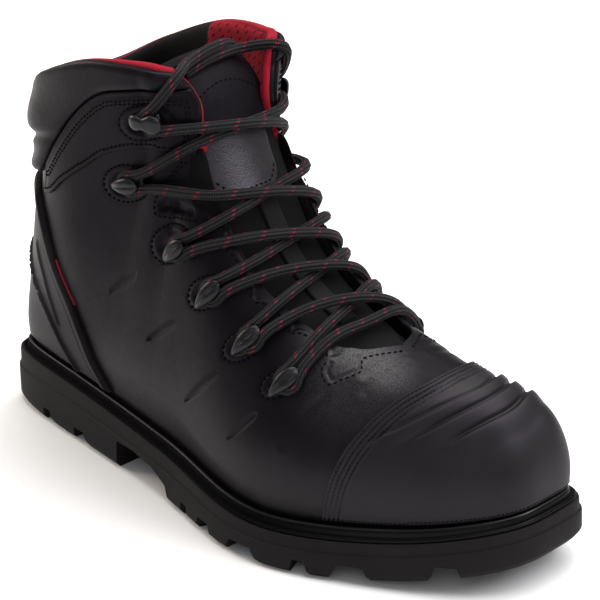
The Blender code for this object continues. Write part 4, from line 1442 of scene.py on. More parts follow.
@dataclass(frozen=True)
class Seat:
    """Oval bed of a lace hook, given by the places at the two ends of its long axis."""

    start: tuple[float, float]
    stop: tuple[float, float]
    roundness: float = 0.60

    def frame(self, last: Last, side: Side) -> tuple[Array, Array, Array, float]:
        """Middle of the oval, the directions along and across it, and half its length.

        Args:
            last: Form of the boot.
            side: Half of the boot.

        Returns:
            The middle, both directions and half the length.
        """
        first, final = last.on_upper(np.array([self.start, self.stop]), side)
        middle = np.add(self.start, self.stop) / 2
        centre = last.point(*middle, side)
        along = unit(final - first)
        across = unit(np.cross(last.normal(*middle, side), along))
        return centre, along, across, float(np.linalg.norm(final - first) / 2)

    def outside(self, last: Last, points: Array, side: Side) -> Array:
        """Distance of points outside the oval, below zero inside it.

        Args:
            last: Form of the boot.
            points: Points to measure.
            side: Half of the boot.

        Returns:
            The distances.
        """
        centre, along, across, half = self.frame(last, side)
        spots = points - centre
        ring = np.hypot(spots @ along / half, spots @ across / (half * self.roundness))
        near = np.linalg.norm(spots, axis=-1) < 2 * half
        return np.where(near, (ring - 1) * half * self.roundness, 2 * half)

    def ring(self, last: Last, side: Side, lift: float) -> Array:
        """Closed line on the upper along the oval, at a height off the leather.

        Args:
            last: Form of the boot.
            side: Half of the boot.
            lift: Height off the leather.

        Returns:
            Points of the line.
        """
        centre, along, across, half = self.frame(last, side)
        turn = np.linspace(0, 2 * math.pi, 90)
        wanted = np.stack([half * np.cos(turn), half * self.roundness * np.sin(turn)], -1)
        step = 1e-3
        middle = np.add(self.start, self.stop) / 2
        moves = [(last.point(*(middle + way), side) - centre) / step for way in ((step, 0), (0, step))]
        slope = np.array([[move @ along, move @ across] for move in moves])
        places = np.tile(middle, (len(turn), 1))
        for _ in range(8):
            spots = last.point(places[:, 0], places[:, 1], side) - centre
            places = places + (wanted - np.stack([spots @ along, spots @ across], -1)) @ np.linalg.inv(slope)
        return last.on_upper(places, side, lift)


@dataclass(frozen=True)
class Hook:
    """Places of a lace hook on the two sides and the turn of its round end."""

    lateral: tuple[float, float]
    medial: tuple[float, float]
    turn: float

    def place(self, side: Side) -> tuple[float, float]:
        """Station and rise of the hook on a side."""
        return self.lateral if side is Side.LATERAL else self.medial


HOOKS = (
    Hook((.615, .505), (.603, .445), 62),
    Hook((.561, .525), (.551, .440), 60),
    Hook((.508, .480), (.504, .405), 55),
    Hook((.456, .403), (.457, .360), 42),
    Hook((.350, .535), (.360, .482), 10),
    Hook((.384, .685), (.358, .700), 0),
)
PANEL_HOOK = 5                              # the hook that stands on the ankle panel
PANEL_SEAT = 0.3 + 0.5 + 1.2                # face of the panel above the upper

SEATS = (
    Seat((.588, .402), (.617, .540)),
    Seat((.533, .385), (.567, .562)),
    Seat((.475, .335), (.514, .515)),
    Seat((.407, .318), (.456, .410)),
    Seat((.303, .585), (.371, .508)),
    Seat((.328, .750), (.396, .672)),
)


def seat_of(number: int, side: Side) -> Seat:
    """Bed of a hook on a side of the boot.

    Args:
        number: Number of the hook, from 0.
        side: Half of the boot.

    Returns:
        The bed.
    """
    seat, hook = SEATS[number], HOOKS[number]
    shift = np.subtract(hook.place(side), hook.lateral)
    return Seat(tuple(np.add(seat.start, shift)), tuple(np.add(seat.stop, shift)))


@dataclass(frozen=True)
class Tab:
    """Rounded tab of the quarter's front edge beside a lace hook."""

    station: float
    half: float


@dataclass
class Upper:
    """Leather upper: quarters and vamp in one wall, with the relief that is cut and pressed into it."""

    shop: Workshop
    wall: float = 2.2
    # Pressed leaves: both end places, half width, depth
    dashes: Rows = (
        (.340, .268, .385, .297, 3.1, 1.1), (.413, .175, .459, .268, 3.1, 1.1),
        (.487, .155, .530, .335, 3.1, 1.1), (.560, .210, .590, .345, 3.1, 1.1))
    slot: Rows = ((.407, .424), (.4305, .430), (.452, .466))
    slot_half: float = 2.1
    slot_depth: float = 1.2
    notch: Rows = ((.427, .53), (.431, .49), (.436, .468), (.454, .492), (.469, .532), (.481, .564),
                   (.493, .594), (.500, .66), (.470, .68), (.445, .68), (.425, .66))
    notch_depth: float = 1.4
    tabs: tuple[Tab, ...] = (Tab(.484, .016), Tab(.521, .019), Tab(.567, .022), Tab(.612, .022))
    backing_depth: float = 0.75
    backing_reach: float = 6.5
    tab_gap: float = 2.0
    base_line: Rows = ((.641, .655), (.645, .607), (.652, .590), (.660, .630), (.667, .690), (.658, .752))
    creases: tuple[Rows, ...] = (
        ((.690, .93), (.684, .80), (.678, .68)),
        ((.704, .88), (.698, .74), (.690, .60)),
        ((.628, .30), (.640, .42), (.654, .52)),
    )
    crease_depth: float = 0.22
    seams: tuple[Rows, ...] = (
        ((.398, .445), (.397, .425), (.404, .407), (.420, .403), (.438, .420), (.451, .446), (.460, .474)),
        ((.424, .515), (.415, .487), (.407, .463), (.402, .450)),
        ((.419, .514), (.411, .488), (.403, .466), (.398, .454)),
        ((.637, .640), (.640, .592), (.650, .568), (.661, .614), (.672, .688), (.664, .752), (.670, .815),
         (.678, .880), (.684, .945)),
    )

    def build(self) -> None:
        """Make the wall and sew it."""
        self.make_wall()
        self.sew()

    def rise_before_edge(self, station: Array, depth: Array | float, side: Side) -> Array:
        """Rise that lies a depth in millimetres below the free edge.

        Args:
            station: Stations.
            depth: Depths in millimetres.
            side: Half of the boot.

        Returns:
            The rises.
        """
        last = self.shop.last
        edge = last.free_edge(station, side)
        run = last.point(station, edge, side) - last.point(station, edge - .05, side)
        return edge - depth * .05 / np.linalg.norm(run, axis=-1)

    def tab_depth(self, station: Array) -> Array:
        """Distance of the quarter's scalloped edge from the free edge.

        Args:
            station: Stations.

        Returns:
            Distances in millimetres.
        """
        depth = np.full(np.shape(station), self.backing_reach)
        for tab in self.tabs:
            share = np.clip(np.abs(station - tab.station) / tab.half, 0, 1)
            arc = np.sqrt(1 - share ** 2.6)
            depth = np.minimum(depth, self.backing_reach + (self.tab_gap - self.backing_reach) * arc)
        return depth

    def relief(self, station: Array, rise: Array, points: Array, side: Side) -> Array:
        """Height of the leather over the last: cut steps, pressed marks and creases.

        Args:
            station: Stations.
            rise: Rises.
            points: Points of the last at the places.
            side: Half of the boot.

        Returns:
            Heights, below zero where it is cut.
        """
        last = self.shop.last
        along = station[:, :1]
        line = self.rise_before_edge(along, self.tab_depth(along), side)
        edge = last.free_edge(along, side)
        run = np.linalg.norm(last.point(along, edge, side) - last.point(along, line, side), axis=-1)
        inward_by = (rise - line) / np.maximum(edge - line, 1e-3) * run
        band = ease(station, .466, .472) * (1 - ease(station, .636, .646))
        deep = self.backing_depth * band * ease(inward_by, -.5, .5)
        for dash in self.dashes:
            deep = np.maximum(deep, self.dash(dash, points, side))
        gap = distance_to(last.on_upper(through(self.slot, 40), side), points, 5.0)
        deep = np.maximum(deep, self.slot_depth * ease(self.slot_half - gap, -.1, .6))
        gap = distance_to(last.on_upper(np.array(self.notch + self.notch[:1]), side), points, 2.0)
        deep = np.maximum(deep, self.notch_depth * ease(gap, 0, .5) * inside(self.notch, station, rise))
        for number in range(PANEL_HOOK):
            deep = deep - seat_height(seat_of(number, side).outside(last, points, side))
        gap = distance_to(last.on_upper(through(self.base_line, 70), side), points, 4.0)
        deep = deep + .26 * bell(gap, 0, .7) - .1 * bell(gap, 1.6, .8)
        for crease in self.creases:
            gap = distance_to(last.on_upper(through(crease, 24), side), points, 9.0)
            deep = deep + self.crease_depth * (bell(gap, 0, 1.6) - .6 * bell(gap, 3.6, 1.8))
        calm = 1 - ease(rise, .93, .99) * (station >= last.throat_end)
        return -deep * calm

    def dash(self, ends: tuple[float, ...], points: Array, side: Side) -> Array:
        """Depth of a slender leaf that is pressed into the leather between two places.

        Args:
            ends: Its two end places, half width and depth.
            points: Points to measure.
            side: Half of the boot.

        Returns:
            Depths at the points.
        """
        last = self.shop.last
        start, stop = last.on_upper(np.array([ends[:2], ends[2:4]]), side)
        middle = np.array([(ends[0] + ends[2]) / 2, (ends[1] + ends[3]) / 2])
        way = unit(stop - start)
        aside = unit(np.cross(last.normal(*middle, side), way))
        share = ((points - start) @ way) / np.linalg.norm(stop - start)
        half = ends[4] * np.sqrt(np.clip(4 * share * (1 - share), 0, 1)) * (.65 + .35 * share)
        across = ((points - start) @ aside) / np.maximum(half, .05)
        within = (share > 0) & (share < 1) & (np.linalg.norm(points - (start + stop) / 2, axis=-1) < 40)
        return ends[5] * ease(1 - np.abs(across), 0, .9) * within

    def make_wall(self) -> None:
        """Outer face in fine rows, inner face in coarse ones, joined along the sole and the free edge."""
        last, shape = self.shop.last, Shape()
        fine = spread((0, .22, 26), (.22, .30, 22), (.30, .395, 56), (.395, .44, 40), (.44, .64, 130),
                      (.64, last.throat_end, 30), (last.throat_end, .75, 24), (.75, 1, 14))
        fine_rows = spread((0, .14, 10), (.14, .62, 78), (.62, 1, 48))
        coarse = spread((0, last.throat_start, 22), (last.throat_start, .44, 14), (.44, last.throat_end, 26),
                        (last.throat_end, 1, 14))
        for side in Side:
            walls = []
            for stations, rows, outer in ((fine, fine_rows, True), (coarse, np.linspace(0, 1, 24), False)):
                edge = last.free_edge(stations, side)
                station = np.repeat(stations[:, None], len(rows), 1)
                rise = rows[None, :] * edge[:, None]
                points = last.point(station, rise, side)
                lift = self.relief(station, rise, points, side) if outer else np.full(rise.shape, -self.wall)
                points = points + last.normal(station, rise, side) * lift[..., None]
                gone = (inside(self.notch, station[:-1, :-1], rise[:-1, :-1])
                        & inside(self.notch, station[1:, 1:], rise[1:, 1:]))
                walls.append(shape.grid(points, np.where(gone, 2, 0) if outer else 1))
            open_fine, open_coarse = fine <= last.throat_end + 1e-9, coarse <= last.throat_end + 1e-9
            shape.strip(walls[0][:, 0], fine, walls[1][:, 0], coarse, 1)
            shape.strip(walls[0][open_fine, -1], fine[open_fine],
                        walls[1][open_coarse, -1], coarse[open_coarse])
        finish = self.shop.finish
        piece = shape.build("leather_upper", [finish.leather, finish.inner, finish.fabric])
        self.shop.keep(piece, "leather", "upper")

    def sew(self) -> None:
        """Rows of stitches behind the tabs, round the slot and the recess, and at the throat's base."""
        last, rows = self.shop.last, []
        for side in Side:
            for tab in self.tabs:
                station = tab.station + tab.half * .93 * np.sin(np.linspace(-1.45, 1.45, 40))
                rise = self.rise_before_edge(station, self.tab_depth(station) + 2.2, side)
                rows.append(last.on_upper(np.stack([station, rise], -1), side, .12))
            for row in self.seams:
                rows.append(last.on_upper(through(row, 60), side, .12))
        self.shop.sew("quarter_stitches", rows)


def seat_height(outside: Array) -> Array:
    """Height of the leather round a hook: a stitched trough, a soft lip and the bed inside it."""
    return .4 * bell(outside, -1.7, .9) - .35 * bell(outside, 0, .6) - 1.4 * ease(-outside, 2.4, 3.8)


@dataclass
class Overlays:
    """Toe cap, heel counter, ankle panels and padded cuff that lie over the upper."""

    shop: Workshop
    lift: float = 6.6
    gap: float = 0.3
    sunk: float = -0.3
    cap_seam: Profile = Profile((24, 233), (38, 236), (50, 239), (61, 243), (69, 247.5), (76, 253), (81, 259),
                                (100, 265))
    counter_top: Profile = Profile((-20, 127.5), (30, 127.5), (41, 126), (49, 118), (54, 104), (57, 88),
                                   (62, 70), (72, 50), (90, 28))
    cuff_seam: Profile = Profile((-20, 130.5), (30, 130.5), (44, 130.5), (50, 133), (69, 153), (87, 171),
                                 (102, 182), (119, 187), (132, 189), (160, 186))
    panel_seam: Profile = Profile((50, 124.5), (58, 125), (72, 135), (89, 146), (98, 152), (108, 156.5),
                                  (118, 159.5), (128, 161), (137, 161), (160, 158))
    cap_thickness: float = 1.6
    counter_thickness: float = 1.9
    rim_height: float = 1.0
    rim_groove: float = 0.35
    back_roll: float = 1.6
    panel_thickness: float = 1.2
    cuff_thickness: float = 2.6
    slack: float = 0.5
    # Rolls of the cuff: height, width, swell
    cuff_rolls: Rows = ((158, 13, 4.8), (134, 7, 2.8))
    crease_depth: float = 3.0
    band_grooves: tuple[float, ...] = (1.5, 3.5, 5.5, 7.5)
    band_depth: float = 0.6
    band_lift: float = 0.25
    # Waves: x of the crest on the ridge, half span
    waves: Rows = ((275.0, 41.0), (281.5, 35.0), (289.0, 28.5))
    wave_height: float = 1.7
    wave_sweep: float = 0.0185
    brow: tuple[float, float] = (0.87, 0.52)
    brow_height: float = 2.4
    # Raised lines of the counter: places, swell, width
    ridges: tuple[tuple[Rows, float, float], ...] = (
        (((.02, .46), (.10, .40), (.16, .30), (.205, .215), (.245, .125), (.285, .04)), 1.7, .9),
        (((.195, .43), (.212, .34), (.228, .24), (.246, .165)), 1.0, .8),
    )

    def build(self) -> None:
        """Make all pieces."""
        self.make_cap()
        self.make_counter()
        self.make_panels()
        self.make_cuff()

    def base_rise(self, station: Array, side: Side) -> Array:
        """Rise of the overlays' lower edge, just above the welt."""
        return self.shop.last.rise_at(station, lambda x: self.shop.last.sole_top(x) + self.lift, side)

    def make_cap(self) -> None:
        """Toe cap with its stitched band and the waves moulded across it."""
        last, rows, columns = self.shop.last, np.linspace(0, 1, 116), []
        run = spread((0, .10, 34), (.10, .35, 24), (.35, 1, 72))
        for side in Side:
            def rise_of(station: Array, side: Side = side) -> Array:
                """Rises of the rows at their stations."""
                base = self.base_rise(station, side)
                return base + (1 - base) * rows

            start = last.station_at(rise_of, self.cap_seam, len(rows), side)
            station = start[None, :] + (1 - start[None, :]) * run[:, None]
            base = self.base_rise(station, side)
            columns.append((station, base + (1 - base) * rows[None, :], side))
        surface = [last.point(*column) for column in columns]
        normals = [last.normal(*column) for column in columns]
        seam = np.concatenate([surface[0][0], surface[1][0, ::-1]])
        foot = np.concatenate([surface[0][:, 0], surface[1][::-1, 0]])
        from_seam = [distance_to(seam, points, 14.0) for points in surface]
        from_foot = [distance_to(foot, points, 5.0) for points in surface]
        outer, inner = [], []
        for points, normal, seam_gap, foot_gap in zip(surface, normals, from_seam, from_foot):
            height = self.gap + self.cap_thickness * rounded(np.minimum(seam_gap, foot_gap), 1.2)
            for groove in self.band_grooves:
                height = height - self.band_depth * bell(seam_gap, groove, .5)
            brow = np.linalg.norm(points - last.point(*self.brow, Side.MEDIAL), axis=-1)
            height = height + self.band_lift * (1 - ease(seam_gap, 8.2, 9.4)) + self.wave(points)
            height = height + self.brow_height * bell(brow, 0, 14)
            outer.append(points + normal * height[..., None])
            inner.append(points + normal * self.sunk)
        shape = Shape()
        shape.shell(np.concatenate([outer[0], outer[1][::-1][1:]]),
                    np.concatenate([inner[0], inner[1][::-1][1:]]), open_top=True)
        piece = shape.build("toe_cap_shell", [self.shop.finish.cap])
        self.shop.keep(piece, "toe_cap", "toe_cap")
        sewn, height = [], self.gap + self.cap_thickness
        every, sunk = np.arange(len(rows)), height - self.band_depth + self.band_lift
        for groove in self.band_grooves:
            halves = [(points + normal * sunk)[np.argmax(gap >= groove, 0), every]
                      for points, normal, gap in zip(surface, normals, from_seam)]
            sewn.append(np.concatenate([halves[0], halves[1][::-1]]))
        halves = [(points + normal * height)[np.arange(len(run)), np.argmax(gap >= 1.6, 1)]
                  for points, normal, gap in zip(surface, normals, from_foot)]
        sewn.append(np.concatenate([halves[0], halves[1][::-1]]))
        self.shop.sew("cap_stitches", sewn, Stitch(1.9, 1.2, .3))

    def wave(self, points: Array) -> Array:
        """Height of the waves over the toe cap: a notch, a steep rise and a slow fall towards the toe.

        Args:
            points: Points to measure.

        Returns:
            Heights at the points.
        """
        aside = points[..., 1] - self.shop.last.ridge_y(points[..., 0])
        height = np.zeros(points.shape[:-1])
        for crest, span in self.waves:
            past = points[..., 0] + self.wave_sweep * aside ** 2 - crest
            fade = (1 - ease(np.abs(aside), .62 * span, span)) * ease(points[..., 2], 48, 58)
            rise = ease(past, -.5, .8) * (1 - ease(past, .8, 8.0))
            height = height + fade * (self.wave_height * rise - .9 * bell(past, -.9, .8))
        return height

    def make_counter(self) -> None:
        """Moulded heel counter with a thick rim and two raised lines."""
        last = self.shop.last
        stations = spread((0, .20, 40), (.20, .30, 60), (.30, .352, 24))
        rows = 1 - (1 - np.linspace(0, 1, 70)) ** 1.35
        outer, inner = [], []
        for side in Side:
            low = self.base_rise(stations, side)
            high = np.maximum(last.rise_at(stations, self.counter_top, side), low + 1e-4)
            station = np.repeat(stations[:, None], len(rows), 1)
            rise = low[:, None] + (high - low)[:, None] * rows[None, :]
            points, normal = last.point(station, rise, side), last.normal(station, rise, side)
            rim, foot = points[:, -1], points[:, 0]
            from_rim = distance_to(rim, points, 9.0)
            edge = np.minimum(from_rim, distance_to(foot, points, 4.0))
            height = self.gap + self.counter_thickness * rounded(edge, 1.5)
            height = height + self.rim_height * rounded(from_rim, 1.6) * (1 - ease(from_rim, 3.6, 5.0))
            height = height - self.rim_groove * bell(from_rim, 5.6, .8)
            height = height + self.back_roll * bell(from_rim, 1.8, 2.2) * (1 - ease(station, .10, .19))
            for places, swell, width in self.ridges:
                gap = distance_to(last.on_upper(through(places, 50), side), points, 6.0)
                height = height + swell * bell(gap, 0, width)
            outer.append(points + normal * height[..., None])
            inner.append(points + normal * self.sunk)
        shape = Shape()
        shape.shell(*(np.concatenate([half[0][::-1], half[1][1:]]) for half in (outer, inner)))
        piece = shape.build("heel_counter_shell", [self.shop.finish.counter])
        self.shop.keep(piece, "leather", "heel_counter")

    def panel_grid(self, side: Side) -> tuple[Array, Array]:
        """Stations and rises of an ankle panel, between its lower edge and the cuff or the free edge.

        Args:
            side: Half of the boot.

        Returns:
            The stations and the rises.
        """
        last = self.shop.last
        stations = spread((.205, .36, 90), (.36, .434, 66))
        rows = np.linspace(0, 1, 60)
        low = last.rise_at(stations, self.panel_seam, side)
        high = np.minimum(last.rise_at(stations, lambda x: self.cuff_seam(x) - .3, side),
                          last.free_edge(stations, side))
        high = np.maximum(high, low + 1e-4)
        rise = low[:, None] + (high - low)[:, None] * rows[None, :]
        return np.repeat(stations[:, None], len(rows), 1), rise

    def beside_throat(self, station: Array) -> Array:
        """Extra room under the overlays beside the throat."""
        return self.slack * ease(station, .33, .40) * (1 - ease(station, .48, .52))

    def make_panels(self) -> None:
        """Ankle panels with their stitched edges."""
        last, sewn, doubled = self.shop.last, [], []
        for side in Side:
            station, rise = self.panel_grid(side)
            points, normal = last.point(station, rise, side), last.normal(station, rise, side)
            border = np.concatenate([points[0], points[:, -1], points[-1, ::-1], points[::-1, 0]])
            gap = distance_to(border, points, 5.0)
            base = self.gap + self.beside_throat(station)
            height = base + self.panel_thickness * rounded(gap, 1.0) - .2 * bell(gap, 2.4, .8)
            height = height + seat_height(seat_of(PANEL_HOOK, side).outside(last, points, side))
            shape = Shape()
            shape.shell(points + normal * height[..., None], points + normal * self.sunk)
            name = f"ankle_panel_{side.name.lower()}"
            piece = shape.build(f"{name}_leather", [self.shop.finish.leather])
            self.shop.keep(piece, "leather", name)
            top = points + normal * (base + self.panel_thickness + .05)[..., None]
            lower, upper = distance_to(points[:, 0], points, 12.0), distance_to(points[:, -1], points, 12.0)
            columns = np.arange(len(station))
            inset = 4
            sewn.append(top[columns, np.argmax(lower >= 2.2, 1)][inset:-inset])
            for distance in (4.2, 5.8):
                index = rise.shape[1] - 1 - np.argmax((upper >= distance)[:, ::-1], 1)
                fits = (upper >= distance).any(1) & (lower[columns, index] > 2.0)
                doubled.append(top[columns, index][fits][inset:])
        self.shop.sew("panel_stitches", sewn + doubled)

    def make_cuff(self) -> None:
        """Padded cuff: two rolls at the back that thin out towards the front."""
        last = self.shop.last
        stations = spread((0, .30, 60), (.30, .409, 50))
        rows = np.linspace(0, 1, 54)
        outer, inner = [], []
        for side in Side:
            low = last.rise_at(stations, self.cuff_seam, side)
            high = np.maximum(last.free_edge(stations, side), low + 1e-4)
            rise = low[:, None] + (high - low)[:, None] * rows[None, :]
            station = np.repeat(stations[:, None], len(rows), 1)
            points, normal = last.point(station, rise, side), last.normal(station, rise, side)
            border = np.concatenate([points[:, -1], points[-1, ::-1], points[::-1, 0]])
            gap = distance_to(border, points, 9.0)
            back = 1 - ease(station, .12, .30)
            rolls = sum(swell * bell(points[..., 2], z, width) for z, width, swell in self.cuff_rolls)
            rolls = rolls - self.crease_depth * bell(points[..., 2] - 70 * np.hypot(station, .06), 139.0, 2.6)
            crown = .25 + .75 * rounded(gap, 4.0)
            height = self.gap + self.beside_throat(station) + (self.cuff_thickness + back * rolls) * crown
            outer.append(points + normal * height[..., None])
            inner.append(points + normal * self.sunk)
        shape = Shape()
        shape.shell(*(np.concatenate([half[0][::-1], half[1][1:]]) for half in (outer, inner)))
        piece = shape.build("padded_cuff", [self.shop.finish.soft])
        self.shop.keep(piece, "soft_leather", "collar_cuff")


@dataclass
class Collar:
    """Lining inside the collar, dark at the back and red mesh at the front, and its rolled edges."""

    shop: Workshop
    depth: float = 0.40
    thickness: float = 3.2
    roll: tuple[float, float] = (1.15, 2.3)
    binding: float = 1.5
    front: float = 0.4345
    mesh_start: float = 0.275

    def edge_line(self, side: Side, stations: Array) -> tuple[Array, Array, Array]:
        """Points of the free edge, the way out of the leather and the way off the edge at them.

        Args:
            side: Half of the boot.
            stations: Stations.

        Returns:
            The points and both directions.
        """
        last = self.shop.last
        rise = last.free_edge(stations, side)
        points, out = last.point(stations, rise, side), last.normal(stations, rise, side)
        run = unit(np.gradient(points, axis=0))
        return points, out, unit(np.cross(out, run) * side.value)

    def build(self) -> None:
        """Make all pieces."""
        stations = spread((0, self.mesh_start, 62), (self.mesh_start, .39, 16), (.39, self.front, 50))
        paths, hints, sizes, binders = [], [], [], []
        for side in Side:
            points, out, off = self.edge_line(side, stations)
            front = ease(stations, .28, .40)[:, None]
            size = self.roll[0] + (self.roll[1] - self.roll[0]) * front
            paths.append(points - out * (1.9 + .9 * front) + off * (1.0 - .5 * front))
            hints.append(off)
            sizes.append(size)
            ahead = stations >= .402
            binders.append((points[ahead] - out[ahead] * .9 + off[ahead] * .3, out[ahead]))
        path = np.concatenate([paths[0][::-1], paths[1][1:]])
        hint = np.concatenate([hints[0][::-1], hints[1][1:]])
        size = np.concatenate([sizes[0][::-1], sizes[1][1:]])
        shape = Shape()
        capped_tube(shape, path, lambda along, turn: size + 0 * turn, 16, hint)
        piece = shape.build("collar_roll", [self.shop.finish.red_edge])
        self.shop.keep(piece, "lining")
        shape = Shape()
        for line, lean in binders:
            capped_tube(shape, line, lambda along, turn: self.binding + 0 * along * turn, 14, lean)
        self.shop.keep(shape.build("front_binding", [self.shop.finish.soft]), "soft_leather")
        self.make_panel(stations)

    def make_panel(self, stations: Array) -> None:
        """Padded lining down the inside of the shaft.

        Args:
            stations: Stations.
        """
        last, rows, shape = self.shop.last, np.linspace(0, 1, 40), Shape()
        for low_station, high_station, slot in ((0.0, self.mesh_start, 1), (self.mesh_start, self.front, 0)):
            part = stations[(stations >= low_station - 1e-9) & (stations <= high_station + 1e-9)]
            for side in Side:
                edge = last.free_edge(part, side)
                low = np.minimum(1 - self.depth, edge - .06)
                station = np.repeat(part[:, None], len(rows), 1)
                rise = low[:, None] + (edge - low)[:, None] * rows[None, :]
                points, normal = last.point(station, rise, side), last.normal(station, rise, side)
                pad = self.thickness * rounded(np.minimum(rows, (1 - rows) * 3), .35)[None, :, None]
                shape.shell(points - normal * (2.5 + pad), points - normal * 2.25, slot)
        piece = shape.build("collar_lining", [self.shop.finish.lining, self.shop.finish.inner])
        self.shop.keep(piece, "lining")


@dataclass
class Tongue:
    """Padded tongue with its leather top, satin flap and webbing keeper."""

    shop: Workshop
    x: Profile = Profile((0, 238), (37, 203.9), (57.5, 186.1), (77, 172), (101, 159.1), (124, 149),
                         (140, 142.5), (155.5, 135), (174, 121))
    z: Profile = Profile((0, 76.5), (37, 91), (57.5, 101.1), (77, 114.4), (101, 134.7), (124, 155),
                         (140, 170), (155.5, 183.5), (174, 195))
    half: Profile = Profile((0, 17), (37, 22), (57.5, 23.5), (77, 23.5), (101, 23.5), (124, 24), (140, 25),
                            (155.5, 26), (174, 26))
    crown: Profile = Profile((0, 3), (37, 5), (57.5, 5.5), (77, 6), (101, 6), (124, 6), (140, 6),
                             (155.5, 6.5), (174, 6.5))
    end: float = 174.0
    thickness: float = 4.4
    seat: float = 0.45
    flap: tuple[float, float] = (106.5, 136.0)
    flap_reach: float = 0.76
    flap_lean: float = -0.20
    flap_thickness: float = 1.4
    webbing: tuple[float, float] = (34.0, 113.0)
    webbing_half: float = 5.2
    webbing_thickness: float = 1.2
    top_start: float = 131.0

    def point(self, along: Array, across: Array, lift: Array | float) -> Array:
        """Points on the tongue.

        Args:
            along: Lengths from the tongue's foot.
            across: Places over its width, from -1 to 1.
            lift: Heights off its middle surface.

        Returns:
            The points, with x, y and z along the last axis.
        """
        along, across, lift = np.broadcast_arrays(np.asarray(along, float), np.asarray(across, float), lift)
        run_x, run_z = self.x(along + 1) - self.x(along - 1), self.z(along + 1) - self.z(along - 1)
        length = np.hypot(run_x, run_z)
        off = lift - self.crown(along) * across ** 2
        x = self.x(along)
        y = self.shop.last.ridge_y(x) + across * self.half(along)
        return np.stack([x + run_z / length * off, y, self.z(along) - run_x / length * off], -1)

    def strip(self, along: Array, reach: Array, low: float, high: float, edge: float, count: int,
              lean: float = 0.0) -> Shape:
        """Closed strip along the tongue with rounded edges.

        Args:
            along: Lengths of its sections.
            reach: Half width of each section as a share of the tongue's.
            low: Height of its underside.
            high: Height of its face.
            edge: Radius of its rounded edges.
            count: Points across a section.
            lean: Shift of its middle as a share of the tongue's half width.

        Returns:
            The closed skin.
        """
        across = np.sin(np.linspace(-1, 1, count) * math.pi / 2)
        side = (1 - np.abs(across))[None, :] * reach[:, None] * self.half(along)[:, None]
        ends = np.minimum(along - along[0], along[-1] - along)[:, None]
        crown = rounded(np.minimum(side, ends), edge)
        place = lean + across[None, :] * reach[:, None]
        middle = low + (high - low) * .3
        shape = Shape()
        shape.shell(self.point(along[:, None], place, middle + (high - middle) * crown),
                    self.point(along[:, None], place, middle + (low - middle) * crown))
        return shape

    def build(self) -> None:
        """Make all pieces."""
        finish, half = self.shop.finish, self.thickness / 2
        along = spread((0, 4, 8), (4, self.end - 4, 90), (self.end - 4, self.end, 8))
        body = self.strip(along, np.ones(len(along)), -half, half, 2.2, 41)
        body = body.build("tongue_body", [finish.fabric])
        self.shop.keep(body, "tongue_fabric", "tongue")
        along = spread((self.top_start, self.top_start + 3, 6), (self.top_start + 3, self.end - 2, 30),
                       (self.end - 2, self.end + .8, 7))
        top = self.strip(along, np.full(len(along), .985), -half - .4, half + .5, 2.4, 41)
        self.shop.keep(top.build("tongue_top", [finish.tongue]), "soft_leather")
        start, stop = self.flap
        along = spread((start, start + 8, 24), (start + 8, stop - 2, 28), (stop - 2, stop, 6))
        foot = np.clip((along - start) / 9.0, 0, 1)
        reach = self.flap_reach * (.40 + .60 * np.sqrt(1 - (1 - foot) ** 2))
        seat = half + self.seat
        flap = self.strip(along, reach, seat - .5, seat + self.flap_thickness, 1.2, 49, self.flap_lean)
        self.shop.keep(flap.build("tongue_flap_leather", [finish.flap]), "soft_leather", "tongue_flap")
        along = spread((self.webbing[0], self.webbing[1], 50))
        reach = self.webbing_half / self.half(along)
        band = self.strip(along, reach, seat - .6, seat + self.webbing_thickness, .6, 15)
        self.shop.keep(band.build("webbing_keeper", [finish.webbing]), "webbing", "tongue_webbing")
        self.sew(seat)

    def sew(self, seat: float) -> None:
        """Stitches along the flap's foot, the leather top and the arc above the flap.

        Args:
            seat: Height of the flap's underside.
        """
        start, face = self.flap[0], self.thickness / 2 + .55
        across = np.linspace(-.62, .62, 60)
        foot = start + 2.2 + 7.0 * np.clip((np.abs(across) - .30) / .34, 0, 1) ** 2
        rows = [self.point(foot, across * 1.05 + self.flap_lean, seat + self.flap_thickness + .05)]
        wide = np.linspace(-.9, .9, 60)
        rows.append(self.point(np.full(60, self.end - 4.5), wide, face))
        rows.append(self.point(155.5 - 6.0 * (wide / .9) ** 2, wide * .8, face))
        self.shop.sew("tongue_stitches", rows)


